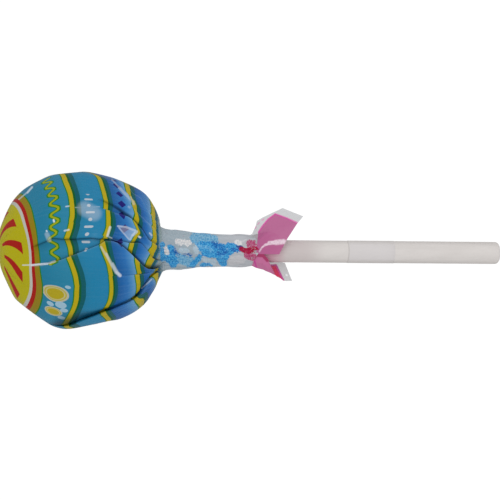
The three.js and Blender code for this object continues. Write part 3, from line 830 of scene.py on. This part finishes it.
# Glints where the slack film is stretched smooth: (from x, y, to x, y, reach, strength) in the picture's
# pixels, and the width of the flat core where there is one.
GLARES = (
    (102.9, 247, 108.2, 255.5, 1.6, 0.35), (108, 254, 113.7, 265, 2.0, 0.5),
    (113.7, 264, 118, 272, 2.6, 0.62), (118, 272, 121.3, 275.2, 2.3, 0.75),
    (25, 265, 36, 264.7, 1.0, 0.55), (34, 265, 50, 263.5, 1.4, 0.85), (50, 263.5, 57.5, 261, 1.2, 0.6),
    (20, 199.5, 28.5, 192.5, 1.1, 0.45), (28.5, 192.8, 33, 187.5, 1.5, 0.7),
    (56, 220.3, 56.4, 222, 1.3, 0.9), (49, 231, 49.4, 231.6, 1.1, 0.8),
    (49.5, 234.5, 51.8, 240, 3.2, 0.3), (68, 207, 71, 206.6, 1.0, 0.6), (67, 231, 71, 230, 1.3, 0.6),
    (77.5, 208, 101, 207.2, 0.9, 0.3), (86.5, 209, 96, 214, 9.5, 0.27, 1.5),
    (129.5, 207, 130.5, 207.8, 1.4, 0.25), (140, 236.8, 141.2, 237.5, 1.4, 0.75),
    (150.5, 233.3, 152.3, 235.4, 1.2, 0.55), (142.5, 288, 147.5, 283.5, 0.8, 0.3),
    (147, 284, 152, 279.3, 0.9, 0.5), (112, 179.5, 121, 189, 1.0, 0.3),
    (120, 188, 131, 199.5, 1.9, 0.35), (131, 198, 134.5, 204, 2.0, 0.3),
    (119.5, 226.4, 128, 227.5, 1.4, 0.5), (127, 227.3, 137.3, 231.3, 1.7, 0.5),
    (137.5, 231.8, 133.7, 235.5, 2.0, 0.6), (133.4, 235, 131.5, 239.5, 1.4, 0.45),
    (120.5, 228, 130.3, 239.5, 1.1, 0.45), (111.8, 227.5, 109.3, 236, 1.7, 0.65),
    (109.5, 236.5, 113.5, 238.3, 0.9, 0.4),
)
GLINT = ((120, 226), (137.6, 231.6), (130.3, 240.7))  # the three corners of a flat glint

# Strokes of crumpled print on the neck, and whitish strokes of painted highlight: two tones, strength, and
# each (from x, y, to x, y, half width).
NECK_STROKES = (
    ((72, 144, 192), (138, 190, 216), 0.85, ((180, 258, 189, 262, 5.0), (194.5, 238, 213, 240, 5.4))),
    ((0, 112, 190), (84, 178, 222), 0.95, (
        (162.4, 244, 162.6, 259, 1.0), (167.5, 257.5, 173, 263.5, 3.4), (170.5, 248.5, 174, 262, 3.8),
        (201.5, 246.5, 229, 250, 5.4), (205, 252, 225, 256, 4.4), (200, 257.5, 192, 265, 2.2),
        (202, 265, 211, 264, 1.4), (219, 258, 223.6, 263, 3.2), (229, 246.5, 238, 248.6, 3.8))),
    ((78, 152, 208), (124, 190, 224), 0.62, (
        (205, 247, 211, 250, 1.6), (221, 256, 227, 250, 1.4), (196, 243, 201, 247, 1.6))),
    ((22, 78, 154), (40, 126, 200), 0.6, (
        (174, 250, 177, 253, 2.0), (184, 254, 191, 255, 1.0), (214, 244, 225, 250, 3.4),
        (219, 254, 226, 252, 2.4), (232, 250, 237.6, 251, 1.6))),
    # whitish painted highlights where the crumpled film catches the light
    ((192, 198, 204), (234, 230, 228), 0.92, (
        (178, 241.6, 188, 242.8, 2.6), (165.6, 248.5, 167.2, 252.6, 1.2), (237, 242, 239.6, 243.6, 1.6))),
    ((162, 188, 204), (186, 200, 210), 0.84, (
        (181, 250, 187, 251, 1.6), (195.5, 248, 196.5, 252.5, 2.0), (204, 259, 208, 260.4, 2.2),
        (212, 262, 214.5, 262.2, 2.0))),
    ((192, 192, 196), (198, 198, 202), 1.0, ((232.5, 261, 241, 260, 3.8),)),
    ((44, 50, 132), (70, 60, 120), 0.8, ((237.6, 247, 241.5, 247.4, 0.9),)),
    ((164, 40, 92), (192, 110, 144), 0.85, (
        (249.5, 243.8, 256, 245, 3.2), (248.5, 255.5, 257, 259, 3.6))),
    ((150, 2, 50), (178, 14, 72), 0.92, ((241, 249.4, 248, 251.4, 1.6), (247, 250.6, 257, 249.6, 2.0))),
)
NECK_GLINT = (241.4, 241.6, 246, 239.6, 0.9, 0.6)
NECK_PUSH = 2.4  # how far noise moves the strokes, in pixels
NECK_SHIFT_BELOW = (22.0, -9.0)  # so that the underside does not mirror the upper side


def neck_print(n, place, x, y, radius, below):
    """Clear grey film with blue print that is crumpled into the twist, a crimson end, and painted
    highlights and a painted glint.
    """
    x_push = n.scaled(n.noise(place, 75.0, 3.0, 0.6), 2 * NECK_PUSH, -NECK_PUSH)
    y_push = n.scaled(n.noise(place, 75.0, 3.0, 0.6, seed=3.7), 2 * NECK_PUSH, -NECK_PUSH)
    fine = n.noise(place, 400.0, 3.0, 0.8)
    crackle = n.linear(fine, n.noise(place, 140.0, 2.0, 0.6, seed=5.3), 2.2, 1.6, -1.9)
    tones = n.span(n.noise(place, 300.0, 3.0, 0.8, seed=8.1), 0.38, 0.62)
    x_shift, y_shift = NECK_SHIFT_BELOW
    x = n.plus(x, n.scaled(below, x_shift, x_push))
    y = n.plus(y, n.scaled(below, y_shift, y_push))
    colour = n.mix(n.span(fine, 0.35, 0.65), linear((156, 174, 186)), linear((178, 192, 200)))
    colour = n.mix(n.span(radius, 150, 164, 0.75, 0.0), colour, linear((132, 156, 152)))
    colour = n.mix(n.span(x, 195, 240), colour, linear((190, 194, 200)))
    printed = 0.0
    for darker, lighter, strength, lines in NECK_STROKES:
        soft = [(*ends, half + 2.0, strength, max(half - 1.8, 0)) for *ends, half in lines]
        amount = n.span(n.plus(strokes(n, x, y, soft), crackle), 0.42, 0.64)
        colour = n.mix(amount, colour, n.mix(tones, linear(darker), linear(lighter)))
        printed = n.larger(printed, amount)
    colour = n.mix(stroke(n, x, y, *NECK_GLINT), colour, linear((220, 220, 224)))
    return colour, n.span(printed, 0.0, 0.9, 0.86, 0.96)


def print_rings(n, colour, share):
    """The four rings: a thin green line, then yellow, dark green and teal."""
    stops = [(0.0, CLEAR)]
    for at, (yellow, green, teal) in zip(RING_PLACES, RING_BANDS):
        stops.append(((at - RING_EDGE) / RAMP_SPAN, GREEN))
        for width, tone in ((yellow, YELLOW), (green, DARK_GREEN), (teal, TEAL), (0, CLEAR)):
            stops.append((at / RAMP_SPAN, tone))
            at += width
    rings, mask = n.ramp(share, stops, "CONSTANT")
    return n.mix(mask, colour, rings)


def film_material():
    n = new_material("film_print")
    place, on_view = n.uv("film"), n.uv("view")
    u, v, _ = n.split(place)
    u, v = n.times(u, FILM_SCALE), n.times(v, FILM_SCALE)
    wobble = n.noise(place, 9.0, 2.0)
    radius = n.plus(n.math("SQRT", n.squares(u, v)), n.scaled(wobble, 0.5, -0.25))
    azimuth = n.math("DEGREES", n.math("ARCTAN2", v, u))

    # the ground, with fine pale and dark streaks along the shaded bands
    share = n.math("DIVIDE", radius, RAMP_SPAN)
    colour, _ = n.ramp(share, [(a / RAMP_SPAN, linear(c)) for a, c in GROUNDS])
    streaks = n.line_noise(n.scaled(radius, 0.06, azimuth), 0.4, 4.0, 0.6)
    shaded = n.span(radius, 98, 110, 0.02, 0.05)
    colour = n.mix(n.times(n.span(streaks, 0.45, 0.75), shaded), colour, linear((170, 200, 220)))
    colour = n.mix(n.times(n.span(streaks, 0.5, 0.3), shaded), colour, linear((20, 70, 130)))
    colour = print_discs(n, colour, u, v)
    colour = print_ornament(n, colour, radius, azimuth)
    colour = print_cap(n, print_rings(n, colour, share), u, v)

    # the clear neck, whose edge with the printed ball is ragged
    x, y = on_pixels(n, on_view)
    upper, _, _ = n.split(n.uv("side"))
    below = n.larger(n.times(upper, -1.0), 0.0)
    neck, neck_alpha = neck_print(n, on_view, x, y, radius, below)
    ragged = n.scaled(n.noise(place, 12.0, 3.0), 5.0, -2.5)
    clear = n.span(n.plus(radius, ragged), 147.5, 150.0)
    colour = n.mix(clear, colour, neck)
    alpha = n.blend(clear, 1.0, neck_alpha)

    # painted shade in the creases, painted highlights on the crests, and painted glints on the upper side
    crease_shade, crest_highlight, _ = n.split(n.uv("crease"))
    shaded = n.mix(1.0, colour, linear((70, 100, 110)), "MULTIPLY")
    colour = n.mix(n.times(crease_shade, 0.9), colour, shaded)
    colour = n.mix(n.times(crest_highlight, 0.6), colour, linear((190, 205, 220)))
    # a painted glint on a flat facet, inside the three corners of GLINT
    painted_facet_glint = n.times(within(n, x, y, GLINT, 1.0), 0.22)
    shine = n.times(strokes(n, x, y, GLARES, painted_facet_glint), n.over(upper, 0.05))
    colour = n.mix(shine, colour, linear((214, 222, 232)))
    grain, _ = n.ramp(n.noise(place, 240.0, 2.0, 0.7), ((0.3, (0.9, 0.9, 0.9, 1)), (0.7, (1, 1, 1, 1))))
    colour = n.mix(1.0, colour, grain, "MULTIPLY")

    roughness = n.span(n.noise(place, 30.0, 3.0), 0.3, 0.7, 0.2, 0.34)
    slack = n.bump(n.noise(place, 40.0, 3.0), 0.15, 0.00004)
    return n.surface(colour, roughness, alpha, slack, specular=0.16)


film.data.materials.append(film_material())
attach(film, "root")
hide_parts("wrapper")

# ---------------------------------------------------------------------------------------------------
# The stick
# ---------------------------------------------------------------------------------------------------

STICK_SIDES = 72
STICK_STEP = 1.5
BAND_GROOVE = 0.03  # depth of the fine lines at the band's ends


def lathe(profile, sides):
    """Vertices and faces of a solid of revolution; the profile starts and ends on the axis."""
    rings = [p for p in profile if p[1] > 1e-9]
    a = np.linspace(0, 2 * math.pi, sides, endpoint=False)
    pts = np.array([[[x, r * math.sin(t), r * math.cos(t)] for t in a] for x, r in rings])
    ends = [[profile[0][0], 0, 0], [profile[-1][0], 0, 0]]
    verts = np.vstack([to_world(pts).reshape(-1, 3), to_world(ends)])
    faces = grid_faces(len(rings), sides, True)
    first, last = len(verts) - 2, len(verts) - 1
    base = (len(rings) - 1) * sides
    faces += [(first, c, (c + 1) % sides) for c in range(sides)]
    faces += [(last, base + (c + 1) % sides, base + c) for c in range(sides)]
    verts[:, 2] = np.maximum(verts[:, 2], 0.00001)
    return verts, faces


def stick_profile():
    low, high = STICK_BAND
    r, raised = STICK_RADIUS, STICK_RADIUS + STICK_BAND_RISE
    profile = [(STICK_INNER_END, 0.0), (STICK_INNER_END, r)]
    profile += [(float(s), r) for s in np.arange(STICK_INNER_END + 1, low - 0.6, STICK_STEP)]

    def groove(at, r, half=0.07):
        deep = r - BAND_GROOVE
        return [(at - half, r), (at - half * 0.4, deep), (at + half * 0.4, deep), (at + half, r)]

    profile += [(low - 0.3, r)] + groove(low - 0.12, r)
    profile += [(low + 0.05, r + 0.03), (low + 1, raised), (high - 1.6, raised)]
    profile += groove(high - 0.05, r + 0.033)
    profile += [(high + 0.1, r + 0.02), (high + 0.3, r)]
    profile += [(float(s), r) for s in np.arange(high + 1.2, STICK_OUTER_END - 1, STICK_STEP)]
    for i in range(9):
        a = math.radians(90 * i / 8)
        profile.append((STICK_OUTER_END - STICK_END_ROUNDING * (1 - math.sin(a)),
                        r - STICK_END_ROUNDING * (1 - math.cos(a))))
    return profile + [(STICK_OUTER_END, 0.5), (STICK_OUTER_END, 0.0)]


stick = make_mesh("stick_body", *lathe(stick_profile(), STICK_SIDES), smooth_angle=60)


def stick_material():
    n = new_material("stick_plastic")
    where = n.add("ShaderNodeTexCoord").outputs["Object"]
    stretch = (60.0, 700.0, 700.0)
    long_space = n.add("ShaderNodeVectorMath", {0: where, 1: stretch}, operation="MULTIPLY").outputs[0]
    mottle = n.noise(long_space, 1.0, 3.0)
    base = n.mix(n.span(mottle, 0.3, 0.7), linear((207, 202, 199)), linear((214, 209, 206)))
    speck = n.noise(where, 2500.0, 2.0)
    base = n.mix(n.span(speck, 0.35, 0.65, 0.0, 0.05), base, linear((180, 172, 168)))
    x, aside, z = n.split(where)
    along = n.linear(x, z, 1000 * math.cos(TILT), -1000 * math.sin(TILT), REST_HEIGHT * math.sin(TILT))
    # the thicker length is a little cooler, with a fine line at each end
    low, high = STICK_BAND
    banded = n.times(n.over(along, low), n.under(along, high))
    base = n.mix(banded, base, n.mix(0.7, base, linear((205, 201, 202))))
    ends = ((low - 0.12, 0.1, 0.7, (186, 181, 179)), (high - 0.05, 0.09, 0.1, (190, 186, 184)))
    for at, half, strength, tone in ends:
        base = n.mix(n.times(n.math("COMPARE", along, at, half), strength), base, linear(tone))
    # painted shade on the darker flanks, a painted shadow of the flaps, and a pink tint that the film lends
    # to the plastic beside it
    base = n.mix(n.span(n.size(aside), 0.0011, 0.0019, 0.0, 0.7), base, linear((190, 185, 182)))
    base = n.mix(n.span(along, 39.2, 44.2, 1.0, 0.0), base, linear((196, 187, 186)))
    base = n.mix(n.span(along, 32.7, 36.8, 0.9, 0.0), base, linear((196, 132, 156)))
    roughness = n.span(n.noise(where, 500.0, 2.0), 0.3, 0.7, 0.42, 0.55)
    return n.surface(base, roughness, 1.0, n.bump(speck, 0.2, 0.00003), specular=0.25)


stick.data.materials.append(stick_material())
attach(stick, "root")
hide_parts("stick")

# ---------------------------------------------------------------------------------------------------
# The free ends of the film: each a sheet between its root on the neck, its hem and two sides, with its
# middle moved by "swell". Points are axial millimetres.
# ---------------------------------------------------------------------------------------------------

FLAPS = {
    "upper": dict(
        root=[[29.6, 2.4, 0.85], [29.9, 1.3, 2.2], [30.3, -0.2, 2.5]],
        hem=[[35.78, 7.41, 1.3], [39.35, 6.02, 1.7], [38.18, 4.8, 2.2], [36.3, 2.17, 2.75],
             [34.82, -0.54, 3.0]],
        left=[[29.6, 2.4, 0.85], [30.52, 2.97, 0.9], [31.04, 4.32, 1.3], [31.21, 5.14, 1.5],
              [32.1, 5.69, 1.5], [33.52, 6.37, 1.4], [35.78, 7.41, 1.3]],
        right=[[30.3, -0.2, 2.5], [31.12, -0.51, 2.5], [32.89, -0.53, 2.8], [34.82, -0.54, 3.0]],
        swell=(0, 0, 0.35)),
    "lower": dict(
        root=[[30.3, -0.1, 2.5], [30.0, -1.35, 2.05], [30.0, -2.15, 0.4], [30.1, -2.0, -1.2],
              [30.2, -1.2, -2.2]],
        hem=[[36.48, -5.07, -0.6], [37.1, -5.12, -1.2], [38.3, -5.08, -1.6], [37.72, -3.36, -2.2],
             [37.28, -2.0, -2.7]],
        left=[[30.3, -0.1, 2.5], [31.12, -0.51, 2.5], [32.14, -0.5, 2.65], [33.06, -1.34, 2.15],
              [33.71, -2.36, 1.3], [34.51, -3.72, 0.6], [36.48, -5.07, -0.6]],
        right=[[30.2, -1.2, -2.2], [34.6, -1.5, -2.7], [37.28, -2.0, -2.7]],
        swell=(-0.3, -0.75, -0.1)),
    "under": dict(
        root=[[30.2, -1.2, -2.25], [30.0, 0.6, -2.4], [29.8, 1.8, -1.75], [29.6, 2.4, -0.5]],
        hem=[[33.4, -1.6, -5.0], [35.6, 0.6, -5.2], [36.6, 2.6, -3.6], [34.6, 3.4, -1.6]],
        left=[[30.2, -1.2, -2.25], [31.6, -1.5, -3.8], [33.4, -1.6, -5.0]],
        right=[[29.6, 2.4, -0.5], [32.2, 3.1, -1.0], [34.6, 3.4, -1.6]],
        swell=(0, 0, -0.3)),
}


def on_chain(points, share):
    """The point at a share of the number of straight pieces of a chain."""
    p = np.asarray(points, float)
    at = np.clip(np.asarray(share) * (len(p) - 1), 0, len(p) - 1 - 1e-9)
    i = np.floor(at).astype(int)
    t = (at - i)[..., None]
    return p[i] * (1 - t) + p[i + 1] * t


def flap_grid(flap, rows, cols):
    """A Coons patch between the flap's four edges."""
    u = np.linspace(0, 1, rows)[:, None] * np.ones((1, cols))
    v = np.ones((rows, 1)) * np.linspace(0, 1, cols)[None, :]
    U, V = u[..., None], v[..., None]
    between = on_chain(flap["root"], v) * (1 - U) + on_chain(flap["hem"], v) * U
    sides = on_chain(flap["left"], u) * (1 - V) + on_chain(flap["right"], u) * V
    r, h = np.asarray(flap["root"], float), np.asarray(flap["hem"], float)
    corners = (r[0] * (1 - V) + r[-1] * V) * (1 - U) + (h[0] * (1 - V) + h[-1] * V) * U
    middle = (np.sin(math.pi * u) * np.sin(math.pi * v))[..., None]
    return between + sides - corners + middle * np.asarray(flap["swell"], float), u, v


def flap_piece(key):
    rows, cols = ((49, 73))
    p, u, v = flap_grid(FLAPS[key], rows, cols)
    du, dv = np.gradient(p, axis=0), np.gradient(p, axis=1)
    normal = np.cross(du, dv)
    normal /= np.maximum(np.linalg.norm(normal, axis=-1, keepdims=True), 1e-9)
    crinkle = 0.05 * np.sin(v * 19 + 3 * u) * (1 - u) + 0.03 * np.sin(u * 7 + v * 5)
    world = to_world((p + normal * crinkle[..., None]).reshape(-1, 3))
    uvs = {"view": on_picture(world) / PICTURE, "share": np.stack([u.ravel(), v.ravel()], -1)}
    return make_mesh("flap_" + key, world, grid_faces(rows, cols, False), uvs)


PINK = linear((182, 96, 143))
MAGENTA = linear((200, 60, 150))
MARGIN = linear((180, 181, 184))
PRINTED_ALPHA, MARGIN_ALPHA = 0.97, 0.75

# Print on the flaps, and a painted shade, in the picture's pixels: convex fields, clockwise as seen, and
# chains of strokes.
UPPER_FIELD = ((256, 256), (258.2, 232), (262, 226.5), (268, 219), (275.5, 213.5), (287.5, 218),
               (297.9, 223.1), (279.8, 256))
UPPER_EDGE = ((258.6, 232), (262, 226.5), (268, 219), (275.5, 213.7), (287.5, 218), (298.4, 222.9))
UPPER_DASHES = ((255.2, 228.3, 255.9, 226.6), (257.8, 224.1, 259.3, 222.5), (262.2, 220, 264.2, 218.7))
UPPER_GLARE = (
    (259.5, 251.5, 262, 247.5, 1.1, 0.6), (262, 247.5, 265, 245, 1.2, 0.75),
    (265, 245, 270, 243.2, 1.7, 0.8), (269.5, 243, 276, 242.4, 2.6, 0.8, 0.8),
    (276, 242.4, 284, 241.6, 3.4, 0.8, 0.8),
)
LOWER_FIELD = ((252, 252), (264, 252), (268, 259), (271, 265), (277, 278.6), (279, 283), (260, 283),
               (252, 270))
LOWER_STRIP = ((271, 266), (276.4, 266), (284, 282), (278.5, 282))
LOWER_EDGE = ((270.8, 265.4, 276.4, 265.2), (276.4, 265.2, 284, 281))
# painted shade where the pink film turns under, round the stick's lower edge
LOWER_PAINTED_SHADE = ((257.5, 254.8, 263.5, 255.6, 2.6, 0.9, 1.3), (263.5, 256, 267.4, 260.2, 2.4, 0.9, 1.0))
LOWER_LINE = (254.3, 260, 256.6, 268, 1.1, 0.9, 0.4)
LOWER_GLINT = (286.7, 275, 287.4, 275.6, 1.3, 0.8)


def flap_finish(n, colour, printed):
    """Grain and a slight crinkle; what is printed is less clear than the margins."""
    view = n.uv("view")
    grain, _ = n.ramp(n.noise(view, 900.0, 2.0), ((0.3, (0.92, 0.92, 0.92, 1)), (0.7, (1, 1, 1, 1))))
    colour = n.mix(1.0, colour, grain, "MULTIPLY")
    alpha = n.blend(printed, MARGIN_ALPHA, PRINTED_ALPHA)
    return n.surface(colour, 0.3, alpha, n.bump(n.noise(view, 150.0, 2.0), 0.2, 0.00006), specular=0.2)


def upper_material():
    n = new_material("flap_upper_film")
    view = n.uv("view")
    x, y = on_pixels(n, view)
    pink = within(n, x, y, UPPER_FIELD)
    colour = n.mix(pink, MARGIN, PINK)
    line = strokes(n, x, y, chain(UPPER_EDGE, 1.2, 1.0, 0.5))
    line = strokes(n, x, y, [(*ends, 0.9, 0.7, 0.3) for ends in UPPER_DASHES], line)
    colour = n.mix(line, colour, MAGENTA)
    broken = n.span(n.noise(view, 260.0, 3.0, 0.7), 0.35, 0.55, 0.6, 1.0)
    glare = n.times(strokes(n, x, y, UPPER_GLARE), broken)
    colour = n.mix(glare, colour, linear((242, 226, 236)))
    return flap_finish(n, colour, pink)


def lower_material():
    n = new_material("flap_lower_film")
    x, y = on_pixels(n, n.uv("view"))
    strip = within(n, x, y, LOWER_STRIP)
    colour = n.mix(strip, MARGIN, linear((220, 0, 84)))
    line = strokes(n, x, y, [(*ends, 1.2, 1.0, 0.4) for ends in LOWER_EDGE])
    colour = n.mix(line, colour, MAGENTA)
    pink = within(n, x, y, LOWER_FIELD)
    colour = n.mix(pink, colour, linear((196, 110, 154)))
    # painted shade of the film turning under
    colour = n.mix(strokes(n, x, y, LOWER_PAINTED_SHADE), colour, linear((165, 48, 94)))
    colour = n.mix(stroke(n, x, y, *LOWER_LINE), colour, MAGENTA)
    printed = n.larger(n.larger(strip, line), pink)
    colour = n.mix(stroke(n, x, y, *LOWER_GLINT), colour, linear((235, 235, 238)))
    return flap_finish(n, colour, printed)


def under_material():
    n = new_material("flap_under_film")
    u, v, _ = n.split(n.uv("share"))
    edge = n.smaller(n.minus(0.78, u), n.minus(v, 0.16))
    pink = n.over(edge, 0.0)
    line = n.times(n.under(edge, 0.035), pink)
    colour = n.mix(line, n.mix(pink, MARGIN, PINK), MAGENTA)
    return flap_finish(n, colour, pink)


for key, material in (("upper", upper_material), ("lower", lower_material), ("under", under_material)):
    piece = flap_piece(key)
    piece.data.materials.append(material())
    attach(piece, "root")

# ---------------------------------------------------------------------------------------------------
# Camera, floor and light
# ---------------------------------------------------------------------------------------------------

CAMERA_DISTANCE = 1.0
SENSOR = 36
FLOOR_HALF, FLOOR_DROP = 1.5, 0.0002


def set_camera():
    """Looks so that the ball's middle falls on BALL_PIXEL."""
    right, up, back = Vector(VIEW_RIGHT), Vector(VIEW_UP), Vector(VIEW_BACK)
    aside = (PICTURE / 2 - BALL_PIXEL[0]) * MM_PER_PIXEL / 1000
    above = (BALL_PIXEL[1] - PICTURE / 2) * MM_PER_PIXEL / 1000
    target = Vector((0, 0, REST_HEIGHT / 1000)) + right * aside + up * above
    data = bpy.data.cameras.new("camera")
    data.sensor_width = SENSOR
    data.lens = SENSOR * CAMERA_DISTANCE / (PICTURE * MM_PER_PIXEL / 1000)
    data.clip_start = 0.05
    data.clip_end = 20
    camera = bpy.data.objects.new("camera", data)
    rotation = Matrix((right, up, back)).transposed().to_4x4()
    camera.matrix_world = Matrix.Translation(target + back * CAMERA_DISTANCE) @ rotation
    bpy.context.scene.collection.objects.link(camera)
    bpy.context.scene.camera = camera


def floor():
    """A white table top that glows evenly, and less so in reflections."""
    mesh = bpy.data.meshes.new("floor")
    a, low = FLOOR_HALF, -FLOOR_DROP
    mesh.from_pydata([(-a, -a, low), (a, -a, low), (a, a, low), (-a, a, low)], [], [(0, 1, 2, 3)])
    piece = bpy.data.objects.new("floor", mesh)
    bpy.context.scene.collection.objects.link(piece)
    n = new_material("floor_white")
    glossy = n.add("ShaderNodeLightPath").outputs["Is Glossy Ray"]
    emission = n.add("ShaderNodeEmission", {"Strength": n.span(glossy, 0.0, 1.0, 0.93, 0.12, "LINEAR")})
    diffuse = n.add("ShaderNodeBsdfDiffuse", {"Color": (0.12, 0.12, 0.12, 1)})
    both = n.add("ShaderNodeAddShader", {0: emission.outputs[0], 1: diffuse.outputs[0]})
    mesh.materials.append(n.finish(both))


def sky():
    """A white studio, brighter overhead and dim in reflections."""
    world = bpy.data.worlds.new("studio")
    bpy.context.scene.world = world
    n = Nodes(world, "ShaderNodeOutputWorld")
    _, _, upward = n.split(n.add("ShaderNodeTexCoord").outputs["Generated"])
    light = n.span(upward, -0.1, 1.0, 0.76, 1.32)
    path = n.add("ShaderNodeLightPath").outputs
    light = n.span(path["Is Glossy Ray"], 0.0, 1.0, light, 0.1, "LINEAR")
    light = n.span(path["Is Camera Ray"], 0.0, 1.0, light, 1.0, "LINEAR")
    n.finish(n.add("ShaderNodeBackground", {"Strength": light}))


def area_light(name, at, size, power, aim=(0.02, 0, 0.01), glossy=True):
    data = bpy.data.lights.new(name, "AREA")
    data.shape = "RECTANGLE"
    data.size, data.size_y = size
    data.energy = power
    light = bpy.data.objects.new(name, data)
    light.location = at
    light.visible_glossy = glossy
    light.rotation_euler = (Vector(aim) - Vector(at)).to_track_quat("-Z", "Y").to_euler()
    bpy.context.scene.collection.objects.link(light)


set_camera()
floor()
sky()
area_light("softbox", (-0.25, 0.55, 0.9), (0.5, 0.5), 1.25, glossy=False)
area_light("window", (0.35, 0.25, 0.8), (0.1, 0.08), 0.3)

view = bpy.context.scene.view_settings
view.view_transform = "Standard"
view.look = "None"
view.exposure = 0
view.gamma = 1
